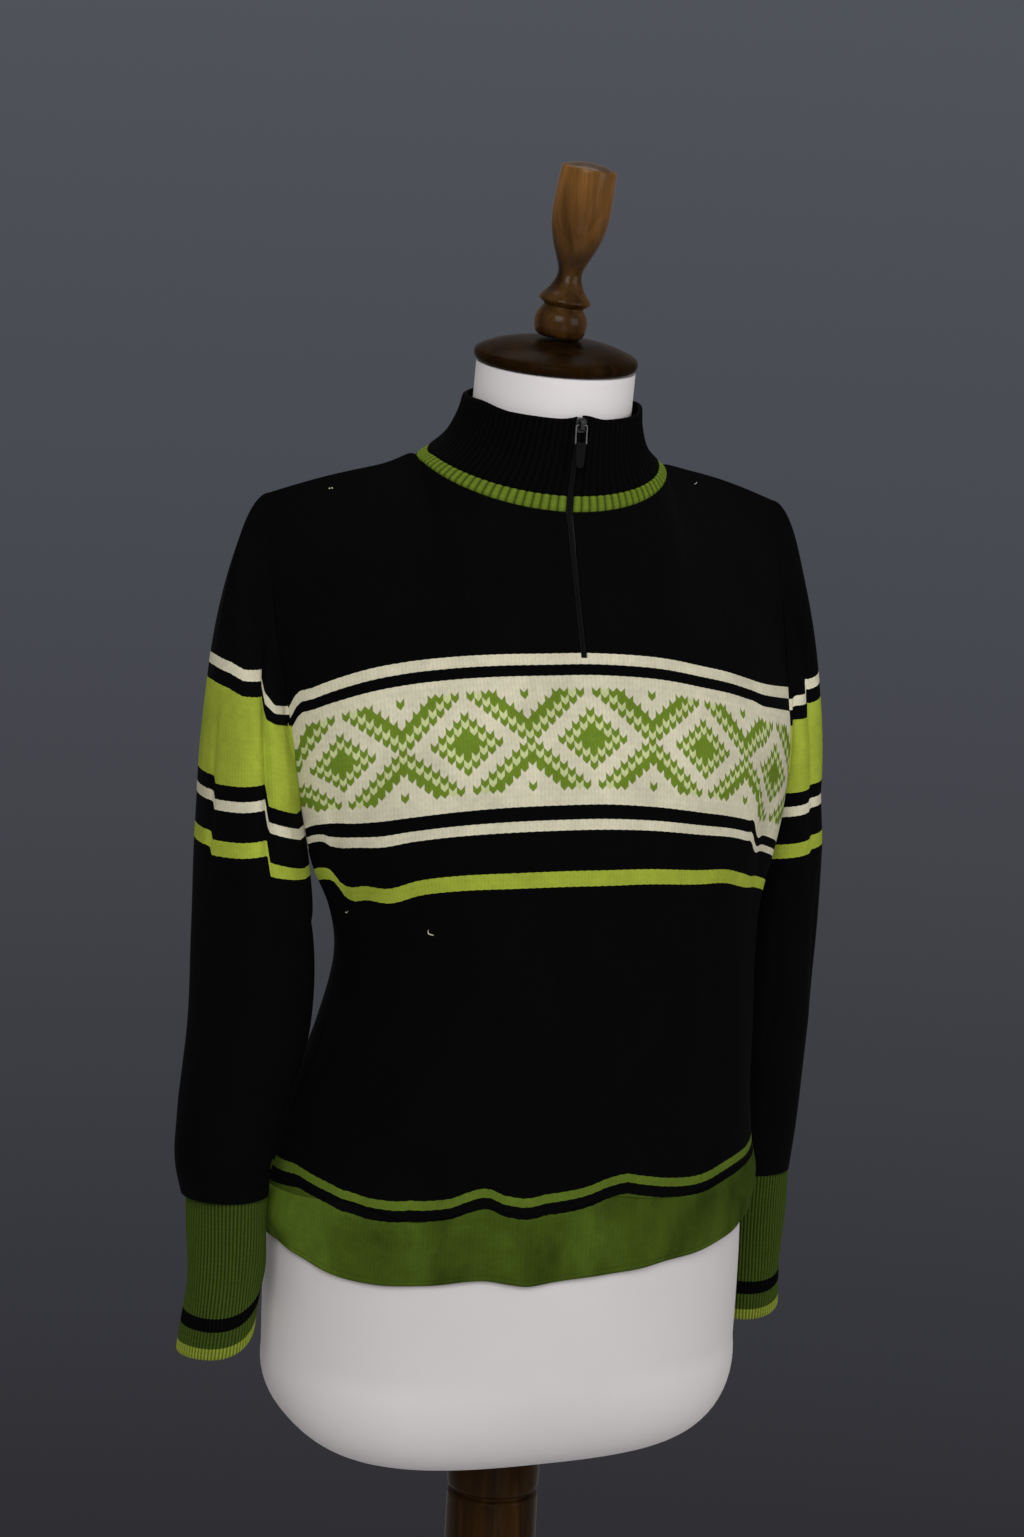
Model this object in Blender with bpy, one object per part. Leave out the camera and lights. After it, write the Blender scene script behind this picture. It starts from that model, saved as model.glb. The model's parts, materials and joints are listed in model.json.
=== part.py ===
"""Half-zip knitted sweater with a patterned chest band, worn by a limbless dress form on a wooden stand.

Heights in the tables are millimetres above the groove turned in the post. The wearer's front faces -Y and the
wearer's left is +X. Every cloth piece is a closed wall: an outer surface, an inner surface and the rims
between them. Neighbouring pieces stand a seam gap apart.
"""
import math

import bpy
import numpy as np

MM = 0.001
GROOVE = 0.730

# Cloth thicknesses, gaps and ribs, in mm
KNIT = 2.0
RIBBED = 2.4
HEM_DOUBLE = 2.6
SEAM_GAP = 0.35
SLEEVE_GAP = 0.5
RIB_RAISE = 0.7
LENS_INSET = 0.45

# Front and back panels below the underarm, from the hem seam up. Columns: height of a knit row at the
# middle, its height at the side seam, half width there, shift of the whole row to the wearer's left,
# depth of the side seam, depth of the middle, roundness of the middle, roundness of the side.
FRONT_ROWS = (
    (237.5, 237.5, 175.0, 0.0, 0.0, -118.0, 2.2, 2.0),
    (285.0, 284.0, 165.5, 6.0, -3.0, -114.5, 2.2, 1.95),
    (340.0, 337.0, 156.5, 14.0, -10.0, -110.0, 2.2, 1.8),
    (395.0, 388.0, 152.0, 16.0, -17.0, -108.0, 2.2, 1.6),
    (440.0, 424.0, 157.0, 12.0, -21.0, -108.5, 2.2, 1.45),
    (480.0, 456.0, 168.0, 8.0, -23.0, -110.0, 2.3, 1.3),
    (520.0, 489.0, 175.0, 7.5, -22.0, -108.0, 2.4, 1.2),
    (545.0, 510.0, 178.0, 7.0, -20.0, -103.0, 2.4, 1.15),
)
BACK_ROWS = (
    (237.5, 237.5, 175.0, 0.0, 0.0, 120.5, 2.2, 2.0),
    (285.0, 284.0, 165.5, 6.0, -3.0, 117.0, 2.2, 1.95),
    (340.0, 337.0, 156.5, 14.0, -10.0, 104.0, 2.2, 1.8),
    (395.0, 388.0, 152.0, 16.0, -17.0, 92.0, 2.2, 1.6),
    (440.0, 424.0, 157.0, 12.0, -21.0, 89.0, 2.2, 1.5),
    (480.0, 456.0, 168.0, 8.0, -23.0, 91.0, 2.2, 1.4),
    (520.0, 489.0, 175.0, 7.5, -22.0, 96.0, 2.2, 1.35),
    (545.0, 510.0, 178.0, 7.0, -20.0, 98.0, 2.2, 1.3),
)

# Largest folds of the panels below the underarm. Columns: place across (-1 to 1) and height at the
# lower end, the same at the upper end, half width, how far the cloth stands out there.
FRONT_FOLDS = (
    (-0.95, 310.0, -0.66, 480.0, 15.0, 4.0),
    (-0.74, 285.0, -0.50, 430.0, 17.0, -3.0),
    (0.86, 400.0, 0.80, 520.0, 14.0, -4.5),
    (0.70, 250.0, 0.62, 430.0, 20.0, 3.0),
    (0.16, 245.0, 0.22, 380.0, 22.0, -2.5),
)
BACK_FOLDS = (
    (-0.62, 300.0, -0.20, 430.0, 20.0, -4.0),
    (0.60, 310.0, 0.16, 450.0, 20.0, -4.5),
    (0.30, 250.0, 0.48, 400.0, 22.0, 3.5),
    (-0.40, 250.0, -0.50, 390.0, 22.0, 3.0),
)

# Share of a row's shift that its middle doesn't follow, how far the folds near the sides move sideways, and
# how a row droops toward the side seams
MIDDLE_STAYS = 0.6
FOLD_SIDEWAYS = 0.9
DROOP_SOON = 0.3

# Armhole edges from the underarm up to the shoulder tip. Columns: height, half width, shift to the wearer's
# left, depth, then the direction in which the wall's inside lies.
FRONT_ARMHOLE = (
    (510.0, 178.0, 7.0, -20.0, -1.0, 0.0, 0.0),
    (535.0, 180.5, 7.5, -14.0, -0.95, 0.3, 0.0),
    (562.0, 182.5, 7.0, -4.0, -0.8, 0.6, 0.0),
    (600.0, 184.5, 5.0, 7.0, -0.6, 0.8, -0.1),
    (640.0, 185.5, 2.5, 16.0, -0.4, 0.85, -0.3),
    (670.0, 185.0, 1.0, 23.5, -0.2, 0.7, -0.7),
    (695.0, 183.0, 0.0, 28.0, 0.0, 0.0, -1.0),
)
BACK_ARMHOLE = (
    (510.0, 178.0, 7.0, -20.0, -1.0, 0.0, 0.0),
    (535.0, 176.0, 7.5, 8.0, -0.8, -0.6, 0.0),
    (562.0, 176.5, 7.0, 34.0, -0.4, -0.9, 0.0),
    (600.0, 178.5, 5.0, 54.0, -0.3, -1.0, -0.1),
    (640.0, 182.0, 2.5, 59.0, -0.2, -0.9, -0.3),
    (670.0, 184.0, 1.0, 48.0, -0.1, -0.7, -0.7),
    (695.0, 183.0, 0.0, 28.0, 0.0, 0.0, -1.0),
)

# Neckline and shoulders
NECK_HALF = 87.5
NECK_SIDE = (5.0, 720.0)
FRONT_NECK = (-60.0, 693.5)
ZIP_DRIFT = -0.06
BACK_NECK = (70.0, 730.0)
NECK_SHARE = 0.5
UPPER_BULGE = {"front": 9.0, "back": 13.0}
ZIP_HALF = 1.7
NECK_DIP = 1.3
BACK_RISE = 1.5
SEAM_ARCH = 3.0
# How far the cloth stands up beside the neck on the wearer's right and left, and the share where it does
NECK_SWELL = (5.5, 1.0)
SWELL_AT = 0.06

# Collar rings from the neckline up. Columns: share of the way, half width, half depth, middle depth,
# height at the front, at the sides and at the back.
COLLAR_RINGS = (
    (0.00, 87.5, 65.0, 5.0, 693.5, 720.0, 730.0),
    (0.17, 80.0, 62.0, 2.5, 704.5, 725.0, 736.0),
    (0.40, 69.5, 60.5, -0.5, 719.5, 734.0, 745.0),
    (0.70, 62.0, 59.0, -4.5, 738.5, 749.0, 758.0),
    (1.00, 59.0, 58.5, -8.0, 757.0, 763.5, 769.0),
)
# Sag of the collar's top edge beside the zip, where it begins and where it ends, as angles
COLLAR_SAG = 3.0
SAG_BEGINS = 0.16
SAG_ENDS = 1.35
TRIM_TOP = 0.17
COLLAR_BASE_LEAN = 53.0
LEAN_FADES = 1.5
COLLAR_RIBS = 90

# Sleeves: sections from the underarm level down to the cuff seam. Columns: height, half width position,
# depth position, half size across, half size in depth.
RIGHT_SLEEVE = (
    (232.0, 208.5, -14.0, 29.5, 30.0),
    (250.0, 210.5, -14.0, 31.5, 33.0),
    (285.0, 206.5, -14.0, 35.5, 36.0),
    (345.0, 196.0, -13.0, 40.5, 40.0),
    (405.0, 194.5, -8.0, 40.0, 46.0),
    (450.0, 197.0, 0.0, 34.0, 52.0),
    (490.0, 199.5, 6.0, 28.0, 54.0),
)
LEFT_SLEEVE = (
    (211.0, 204.0, 42.0, 29.5, 29.0),
    (235.0, 204.0, 43.0, 32.0, 32.0),
    (285.0, 203.0, 42.0, 35.0, 36.0),
    (345.0, 201.0, 38.0, 36.0, 43.0),
    (405.0, 201.0, 36.0, 36.0, 46.0),
    (450.0, 202.0, 36.0, 34.0, 48.0),
    (490.0, 201.0, 38.0, 31.0, 50.0),
)
# Cuffs: height, half width position, depth position, half size across, half size in depth
RIGHT_CUFF = (
    (122.5, 210.5, -14.0, 25.4, 25.5),
    (172.0, 206.0, -14.0, 25.2, 25.5),
    (232.0, 206.5, -14.0, 26.5, 27.0),
)
LEFT_CUFF = (
    (102.0, 206.2, 43.0, 24.4, 25.0),
    (158.0, 205.6, 43.0, 25.6, 25.8),
    (211.0, 204.5, 42.0, 27.5, 27.5),
)
# Where the lower end of each cuff is pushed up. Columns: place round the cuff, width, rise.
CUFF_RISES = {"cuff_right": (0.5, 0.18, 19.0), "cuff_left": (0.0, 0.15, 7.0)}
RISE_FADES = (20.0, 80.0)
CUFF_RIBS = 66

HEM_RINGS = ((190.0, 176.5, 119.5, 121.5), (214.0, 177.5, 120.5, 122.5), (237.5, 176.5, 119.5, 121.8))

# Creases down the sleeves. Columns: lowest and highest height, place round the sleeve at each end,
# width as a share of the round, depth.
RIGHT_CREASES = (
    (425.0, 700.0, 0.25, 0.26, 0.040, 10.0),
    (300.0, 470.0, 0.22, 0.30, 0.050, 5.0),
    (470.0, 640.0, 0.80, 0.78, 0.050, 6.0),
)
LEFT_CREASES = (
    (420.0, 690.0, 0.18, 0.22, 0.045, 6.0),
    (300.0, 480.0, 0.70, 0.66, 0.050, 5.0),
    (480.0, 660.0, 0.74, 0.80, 0.050, 7.0),
)

# Sleeve heads: the armhole's middle as depth and height, and how far the cloth stands out of the armhole
# under the arm and at the shoulder tip
ARMHOLE_CENTRE = (12.0, 602.0)
HEAD_OUT = (9.0, 23.0)
# Share of the sleeve head over which the armhole seam keeps its round shape and no crease begins
CREASE_FREE = 0.3

# Dress form above its rounded foot. Columns: height, half width, front depth, back depth, middle depth.
FORM_RINGS = (
    (112.0, 170.5, -114.0, 117.5, 0.0),
    (150.0, 171.0, -114.5, 118.0, 0.0),
    (190.0, 170.5, -114.5, 117.5, 0.0),
    (240.0, 167.0, -111.0, 113.0, 0.0),
    (300.0, 147.0, -98.0, 102.0, 0.0),
    (360.0, 124.0, -88.0, 84.0, -3.0),
    (410.0, 116.0, -86.0, 76.0, -6.0),
    (460.0, 122.0, -94.0, 79.0, -8.0),
    (500.0, 134.0, -103.0, 85.0, -8.0),
    (530.0, 137.0, -95.0, 85.0, -5.0),
)
# Form inside the panels: share of the way from the underarm row to the shoulders, distance inside them
FORM_SHOULDERS = ((0.20, 7.5), (0.38, 7.5), (0.58, 6.0), (0.76, 7.5), (0.87, 15.5))
FORM_REACH = 0.94
FORM_FOOT = 46.0
FOOT_IN = (62.0, 42.0)
FOOT_TILT = 0.01
FOOT_SQUARE = 0.8
FOOT_STEPS = 5
NECK_FOOT = (0.0, -1.5, 710.0)
NECK_RINGS = ((50.0, -1.0), (53.0, 22.0), (53.0, 48.0), (53.0, 76.2))
NECK_LEAN = 6.8

# Turned pieces as (radius, height) from their own foot
CAP_FOOT = (0.0, -9.3, 786.7)
CAP_PROFILE = (
    (50.4, 0.0), (53.8, 0.8), (54.9, 3.6), (54.2, 6.8), (50.8, 9.0), (40.5, 13.0), (28.5, 15.6), (16.0, 16.6),
    (6.0, 16.8),
)
FINIAL_FOOT = (0.0, -11.4, 804.6)
FINIAL_PROFILE = (
    (13.2, 0.0), (16.0, 2.0), (17.5, 6.0), (17.9, 10.9), (17.0, 15.5), (14.0, 19.4), (13.2, 20.7),
    (15.6, 22.1), (18.0, 24.4), (16.4, 27.3), (11.9, 32.1), (8.8, 38.3), (8.0, 42.9), (9.0, 47.0),
    (11.5, 52.7), (15.0, 60.5), (18.1, 70.3), (19.6, 81.6), (19.3, 95.0), (18.7, 108.0), (18.4, 111.6),
    (17.4, 112.7), (10.0, 114.9), (4.0, 115.6),
)
FINIAL_SIDE_LEAN = 5.6
FLOOR = -1000.0 * GROOVE
POST_PROFILE = (
    (32.2, FLOOR + 25.3), (32.2, -2.0), (31.0, 0.0), (28.6, 1.2), (28.6, 2.8), (31.0, 4.0), (32.2, 6.0),
    (32.2, FORM_FOOT - 2.6), (31.0, FORM_FOOT - 1.3),
)
BASE_PROFILE = (
    (186.0, FLOOR), (190.0, FLOOR + 4.0), (190.0, FLOOR + 17.0), (184.0, FLOOR + 23.5), (172.0, FLOOR + 25.0),
)

# Zip
ZIP_TOP_SHARE = 0.985
TRIM_FOOT_SHARE = 0.012
TRIM_GAP_SHARE = 0.008
TRIM_SLOT = 2.4
SLIDER_AT = (-3.6, -66.6, 751.0)
SLIDER_LEAN = 9.0
SLIDER_PLATE = (7.4, 9.6, 2.4, 1.8)
ARCH_HALF = 1.3
# The arch seen from the side as (up, out of the plate), round its outer edge and back along its inner one
ARCH_SIDE = ((3.3, -0.6), (3.3, -3.0), (2.2, -4.6), (-2.2, -4.6), (-3.3, -3.0), (-3.3, -0.6),
             (-2.3, -0.6), (-2.3, -2.7), (-1.6, -3.6), (1.6, -3.6), (2.3, -2.7), (2.3, -0.6))
HINGE = (-3.6, -69.3, 751.0)
LOOP_WIDE = 7.6
LOOP_TALL = 12.6
WIRE = 0.5
WIRE_SIDES = 6
TAB_WIDE = 6.6
TAB_LENGTH = 15.0
TAB_END = 2.0
TAB_TAPER = (0.78, 0.5)
TAB_HALF_THICK = 0.8
TAB_EYE = (0.75, 1.3)

# Colours and the cloth's roughness
BLACK = (0.004, 0.004, 0.005)
GREEN = (0.16, 0.25, 0.03)
DARK_GREEN = (0.10, 0.17, 0.02)
WOOD = (0.12, 0.05, 0.015)
WOOLLY = 0.9

# Grid sizes
FRONT_COLUMNS = 26
BACK_COLUMNS = 22
FRONT_LOWER_ROWS = 12
BACK_LOWER_ROWS = 9
SLOT_SHARE = 0.377
UPPER_SHARES = (0.19, SLOT_SHARE, 0.54, 0.70, 0.86, 1.0)
PANEL_HALF_LENGTH = 212.0
SLEEVE_HEAD_ROWS = (0.0, 0.12, 0.26, 0.42, 0.60, 0.80, 1.0)
SLEEVE_LEVELS = 10
HEM_COLUMNS = 40
FORM_HALF_COLUMNS = 17


def place(points):
    """Turns millimetre points above the post's top into metres in the world."""
    world = np.asarray(points, float) * MM
    world[..., 2] += GROOVE
    return world


def along(table, key):
    """Smooth values of a table's other columns at the given first-column values."""
    rows = np.asarray(table, float)
    key = np.clip(np.asarray(key, float), rows[0, 0], rows[-1, 0])
    x = rows[:, 0]
    y = rows[:, 1:]
    slope = np.gradient(y, x, axis=0)
    i = np.clip(np.searchsorted(x, key, side="right") - 1, 0, len(x) - 2)
    width = x[i + 1] - x[i]
    t = ((key - x[i]) / width)[..., None]
    width = width[..., None]
    return (
        (1 + 2 * t) * (1 - t) ** 2 * y[i]
        + t * (1 - t) ** 2 * width * slope[i]
        + t * t * (3 - 2 * t) * y[i + 1]
        + t * t * (t - 1) * width * slope[i + 1]
    )


def soft_step(value):
    """0 below 0, 1 above 1 and a smooth rise between."""
    t = np.clip(value, 0.0, 1.0)
    return t * t * (3.0 - 2.0 * t)


def side_fall(s):
    """How much of a row's droop has come at a share of the way to the side seam."""
    a = np.abs(s)
    return DROOP_SOON * a**2 + (1.0 - DROOP_SOON) * a**4


def plan_curve(s, half, mid_round, side_round):
    """Plan curve of a row: across and toward the middle's depth, both 0..1, evenly spaced by length."""
    x = np.sin(np.linspace(0.0, math.pi / 2, 200))
    y = np.maximum(1.0 - x**mid_round, 0.0) ** (1.0 / side_round)
    step = np.hypot(np.diff(x) * half[0], np.diff(y) * half[1])
    length = np.concatenate(([0.0], np.cumsum(step)))
    a = np.abs(s)
    across = np.interp(a, length / length[-1], x) * np.sign(s)
    return across, np.interp(a, length / length[-1], y)


def fold_height(folds, s, z):
    """How far the folds lift the cloth at places across s and heights z, fading at each fold's ends."""
    lift = np.zeros_like(z)
    for low_s, low_z, high_s, high_z, width, height in folds:
        run = np.array([(high_s - low_s) * PANEL_HALF_LENGTH, high_z - low_z])
        dx = (s - low_s) * PANEL_HALF_LENGTH
        dz = z - low_z
        length = float(run @ run)
        share = np.clip((dx * run[0] + dz * run[1]) / length, 0.0, 1.0)
        off = np.hypot(dx - share * run[0], dz - share * run[1])
        lift += height * np.sin(math.pi * share) ** 0.6 * np.exp(-((off / width) ** 2))
    return lift * (1.0 - np.abs(s) ** 8)


def panel_row(rows, s, height, inset):
    """Points of one knit row of a panel, at the shares s from side to side."""
    side_h, side_x, shift, side_y, mid_y, mid_round, side_round = along(rows, height)
    toward = 1.0 if mid_y < 0 else -1.0
    half = side_x - inset * (1.0 + LENS_INSET * (2.0 - side_round))
    middle = mid_y + toward * inset
    across, depth = plan_curve(s, (half, abs(middle - side_y)), mid_round, side_round)
    x = shift * (1.0 - MIDDLE_STAYS * (1.0 - s**2)) + half * across
    y = side_y + (middle - side_y) * depth
    z = height + (side_h - height) * side_fall(s)
    folds = FRONT_FOLDS if mid_y < 0 else BACK_FOLDS
    out = fold_height(folds, s, z)
    a = s**2
    x = x + out * FOLD_SIDEWAYS * a * np.sign(s)
    y = y - out * toward * (1.0 - 0.5 * a)
    return np.stack([x, y, z], -1)


def neckline(angle, face, inset):
    """Neckline points: angle 0 at the middle, 90 degrees at the neck point, to either side."""
    mid_y, mid_h = FRONT_NECK if face == "front" else BACK_NECK
    side_y, side_h = NECK_SIDE
    if face == "front":
        angle = angle + ZIP_DRIFT * np.cos(angle)
    c = np.cos(angle)
    x = NECK_HALF * np.sin(angle)
    y = side_y + (mid_y - side_y) * c
    z = side_h + (mid_h - side_h) * c ** (NECK_DIP if face == "front" else BACK_RISE)
    inward = np.stack([-np.sin(angle) * 0.5, -np.sign(mid_y) * c * 0.6, np.full_like(c, -0.8)], -1)
    inward /= np.linalg.norm(inward, axis=-1, keepdims=True)
    return np.stack([x, y, z], -1) + inset * inward


def top_edge(s, face, inset):
    """A panel's upper edge: the neckline in the middle and the shoulder seams outside it."""
    a = np.abs(s)
    neck = neckline(np.minimum(a / NECK_SHARE, 1.0) * math.pi / 2 * np.where(s < 0, -1.0, 1.0), face, inset)
    t = np.clip((a - NECK_SHARE) / (1.0 - NECK_SHARE), 0.0, 1.0)
    tip_h, tip_x, tip_shift, tip_y = FRONT_ARMHOLE[-1][:4]
    start = np.array([NECK_HALF, NECK_SIDE[0], NECK_SIDE[1]])
    end = np.array([tip_x + tip_shift, tip_y, tip_h])
    line = start + (end - start) * t[:, None]
    swell = np.where(s < 0, NECK_SWELL[0], NECK_SWELL[1]) * t / SWELL_AT * np.exp(1.0 - t / SWELL_AT)
    line[:, 2] += SEAM_ARCH * np.sin(math.pi * t) + swell - inset
    line[:, 0] *= np.sign(s)
    corner = np.clip(t / 0.15, 0.0, 1.0)[:, None]
    start_in = neckline(np.array([math.pi / 2]), face, inset)[0] - start
    start_in = start_in * np.stack([np.sign(s), np.ones_like(s), np.ones_like(s)], -1)
    line += (1 - corner) * (start_in - np.array([0.0, 0.0, -inset]))
    return np.where((a <= NECK_SHARE)[:, None], neck, line)


def armhole(share, face, inset, side):
    """A point of the armhole edge from the underarm (0) to the tip (1), with across counted outward."""
    table = FRONT_ARMHOLE if face == "front" else BACK_ARMHOLE
    low, high = table[0][0], table[-1][0]
    height = low + (high - low) * share
    x, shift, y, dx, dy, dz = along(table, height)
    inward = np.array([dx, dy, dz]) / math.sqrt(dx * dx + dy * dy + dz * dz)
    stretch = 1.0 + 0.4 * max(0.0, 1.0 - share / 0.1)
    return np.array([x + side * shift, y, height]) + inset * stretch * inward


def panel_upper(face, s, w, inset):
    """Points of the panel above the underarm row: w is 0 at that row and 1 at the top edge."""
    rows = FRONT_ROWS if face == "front" else BACK_ROWS
    base = panel_row(rows, s, rows[-1][0], inset)
    top = top_edge(s, face, inset)
    straight = (1.0 - w) * base + w * top
    a = np.abs(s)
    for side in (-1.0, 1.0):
        end = armhole(w, face, inset, side) * np.array([side, 1.0, 1.0])
        side_base = panel_row(rows, np.array([side]), rows[-1][0], inset)[0]
        side_top = top_edge(np.array([side]), face, inset)[0]
        off = end - ((1.0 - w) * side_base + w * side_top)
        straight = straight + (np.where(s * side > 0, a, 0.0) ** 3)[:, None] * off
    forward = -1.0 if face == "front" else 1.0
    outward = np.stack([0.3 * np.sign(s) * a, np.full_like(s, 0.85 * forward), np.full_like(s, 0.4)], -1)
    bulge = UPPER_BULGE[face] * math.sin(math.pi * w) * np.sin(math.pi * a) ** 1.2
    return straight + bulge[:, None] * outward


def panel_grid(face, s, lower, upper, inset):
    """The whole panel's grid of points, rows from the hem seam up to the shoulders."""
    rows = FRONT_ROWS if face == "front" else BACK_ROWS
    grid = [panel_row(rows, s, h, inset) for h in lower]
    grid += [panel_upper(face, s, w, inset) for w in upper]
    grid = np.array(grid)
    grid[..., 1] += (-0.5 if face == "front" else 0.5) * SEAM_GAP
    grid[0, :, 2] += 0.5 * SEAM_GAP
    return grid


def wall(outer, inner, closed=False, keep=None):
    """Vertices and faces of a cloth wall between two grids of points with the same columns and rows."""
    rows, cols = outer.shape[:2]
    wide = cols if closed else cols - 1
    keep = np.ones((rows - 1, wide), bool) if keep is None else keep
    count = rows * cols
    faces = []
    edges = {}
    for r in range(rows - 1):
        for c in range(wide):
            if not keep[r, c]:
                continue
            d = (c + 1) % cols
            quad = (r * cols + c, r * cols + d, (r + 1) * cols + d, (r + 1) * cols + c)
            faces.append(quad)
            faces.append(tuple(count + i for i in reversed(quad)))
            for i in range(4):
                a, b = quad[i], quad[(i + 1) % 4]
                if (b, a) in edges:
                    del edges[(b, a)]
                else:
                    edges[(a, b)] = True
    for a, b in edges:
        faces.append((b, a, count + a, count + b))
    points = np.concatenate([outer.reshape(-1, 3), inner.reshape(-1, 3)])
    return points, faces


def ribbed_wall(outer, inner, closed=False):
    """A wall whose outer grid has more columns than its plain inner grid, joined at the rims."""
    rows, cols = outer.shape[:2]
    in_rows, in_cols = inner.shape[:2]
    points = np.concatenate([outer.reshape(-1, 3), inner.reshape(-1, 3)])
    base = rows * cols
    faces = []
    wide = cols if closed else cols - 1
    in_wide = in_cols if closed else in_cols - 1
    for r in range(rows - 1):
        for c in range(wide):
            d = (c + 1) % cols
            faces.append((r * cols + c, r * cols + d, (r + 1) * cols + d, (r + 1) * cols + c))
    for r in range(in_rows - 1):
        for c in range(in_wide):
            d = (c + 1) % in_cols
            quad = (r * in_cols + c, r * in_cols + d, (r + 1) * in_cols + d, (r + 1) * in_cols + c)
            faces.append(tuple(base + i for i in reversed(quad)))
    for out_row, in_row, up in ((0, 0, False), (rows - 1, in_rows - 1, True)):
        faces += rim_strip(out_row * cols, wide, cols, base + in_row * in_cols, in_wide, in_cols, up)
    if not closed:
        for col, in_col, first in ((0, 0, True), (cols - 1, in_cols - 1, False)):
            ring = [r * cols + col for r in range(rows)]
            ring += [base + r * in_cols + in_col for r in reversed(range(in_rows))]
            faces.append(tuple(ring if first else reversed(ring)))
    return points, faces


def rim_strip(start, wide, cols, in_start, in_wide, in_cols, up):
    """Triangles that join an outer rim to an inner rim with fewer points."""
    faces = []
    o = 0
    i = 0
    while o < wide or i < in_wide:
        a = start + o % cols
        b = in_start + i % in_cols
        if i >= in_wide or (o < wide and (o + 1) / wide <= (i + 1) / in_wide + 1e-9):
            tri = (a, start + (o + 1) % cols, b)
            o += 1
        else:
            tri = (a, in_start + (i + 1) % in_cols, b)
            i += 1
        faces.append(tri if up else tuple(reversed(tri)))
    return faces


def make(name, points, faces, material):
    """Makes one named object from metre points and faces and gives it its own material."""
    mesh = bpy.data.meshes.new(name)
    mesh.from_pydata([tuple(p) for p in np.asarray(points, float)], [], [tuple(f) for f in faces])
    mesh.update()
    item = bpy.data.objects.new(name, mesh)
    bpy.context.scene.collection.objects.link(item)
    mesh.materials.append(material)
    return item


def surface(name, colour, roughness, metallic=0.0):
    """A plain Principled material."""
    material = bpy.data.materials.new(name)
    material.use_nodes = True
    shader = material.node_tree.nodes["Principled BSDF"]
    shader.inputs["Base Color"].default_value = (*colour, 1.0)
    shader.inputs["Roughness"].default_value = roughness
    shader.inputs["Metallic"].default_value = metallic
    return material


def sleeve_section(table, u, height, inset):
    """One ring of a sleeve or cuff at a height: u is 0 outside, 0.25 in front, 0.5 next to the body."""
    cx, cy, ax, ay = along(table, height)
    turn = 2 * math.pi * u
    x = cx + (ax - inset) * np.cos(turn)
    y = cy - (ay - inset) * np.sin(turn)
    return np.stack([x, y, np.full_like(u, height)], -1)


def armhole_ring(u, inset, side):
    """The armhole seam as a ring for the sleeve: u is 0 at the shoulder tip and 0.5 under the arm."""
    ring = []
    knots = np.array((0.0,) + UPPER_SHARES)
    for value in u:
        face = "front" if value <= 0.5 else "back"
        share = abs(1.0 - 2.0 * value)
        seam = np.array([armhole(knot, face, 0.0, side) for knot in knots])
        point = np.array([np.interp(share, knots, seam[:, k]) for k in range(3)])
        point[0] += SLEEVE_GAP
        point[1] += (-0.5 if face == "front" else 0.5) * SEAM_GAP * min(1.0, 4 * (1 - share), 4 * share)
        inward = np.array([0.0, ARMHOLE_CENTRE[0] - point[1], ARMHOLE_CENTRE[1] - point[2]])
        ring.append(point + inset * inward / np.linalg.norm(inward))
    return np.array(ring)


def sleeve_head(table, u, t, inset, side):
    """Points of the sleeve between the armhole (t = 0) and the underarm level (t = 1)."""
    start = armhole_ring(u, inset, side)
    end = sleeve_section(table, u, table[-1][0], inset)
    top = 0.5 + 0.5 * np.cos(2 * math.pi * u)
    out = (HEAD_OUT[0] + (HEAD_OUT[1] - HEAD_OUT[0]) * top)[:, None] * np.array([1.0, 0.0, -0.12])
    drop = 0.5 * (start[:, 2] - end[:, 2])[:, None] * np.array([0.0, 0.0, 1.0])
    return (
        (1 - t) ** 3 * start
        + 3 * t * (1 - t) ** 2 * (start + out)
        + 3 * t * t * (1 - t) * (end + drop)
        + t**3 * end
    )


def sleeve_creases(creases, table, points, u, t=1.0):
    """Moves a ring of sleeve points toward the sleeve's axis along its creases, none at the armhole."""
    moved = points.copy()
    height = points[:, 2]
    centre = along(table, height)[:, :2]
    toward = centre - points[:, :2]
    reach = np.maximum(np.linalg.norm(toward, axis=1), 1.0)
    toward /= reach[:, None]
    depth = np.zeros(len(u))
    for crease in creases:
        low, high, at_low, at_high, width, deep = crease
        share = np.clip((height - low) / (high - low), 0.0, 1.0)
        at = at_low + (at_high - at_low) * share
        near = np.abs((u - at + 0.5) % 1.0 - 0.5)
        inside = np.sin(math.pi * share) ** 0.7
        depth += min(1.0, t / CREASE_FREE) * deep * inside * np.exp(-((near / width) ** 2))
    moved[:, :2] += toward * np.minimum(depth, 0.6 * reach)[:, None]
    return moved


def sleeve_grid(table, creases, u, levels, inset, side):
    """The whole sleeve's grid, across counted outward: rows from the armhole down to the cuff seam."""
    rows = []
    for t in SLEEVE_HEAD_ROWS:
        rows.append(sleeve_creases(creases, table, sleeve_head(table, u, t, inset, side), u, t))
    for height in levels:
        rows.append(sleeve_creases(creases, table, sleeve_section(table, u, height, inset), u))
    return np.array(rows)


def sleeve_columns():
    """Places round a sleeve that meet the panels' rows at the armhole."""
    knots = np.array((0.0,) + UPPER_SHARES)
    fine = np.sort(np.concatenate([knots, (knots[1:] + knots[:-1]) / 2]))
    front = (1.0 - fine[::-1]) / 2
    return np.concatenate([front, 1.0 - front[-2:0:-1]])


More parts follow.
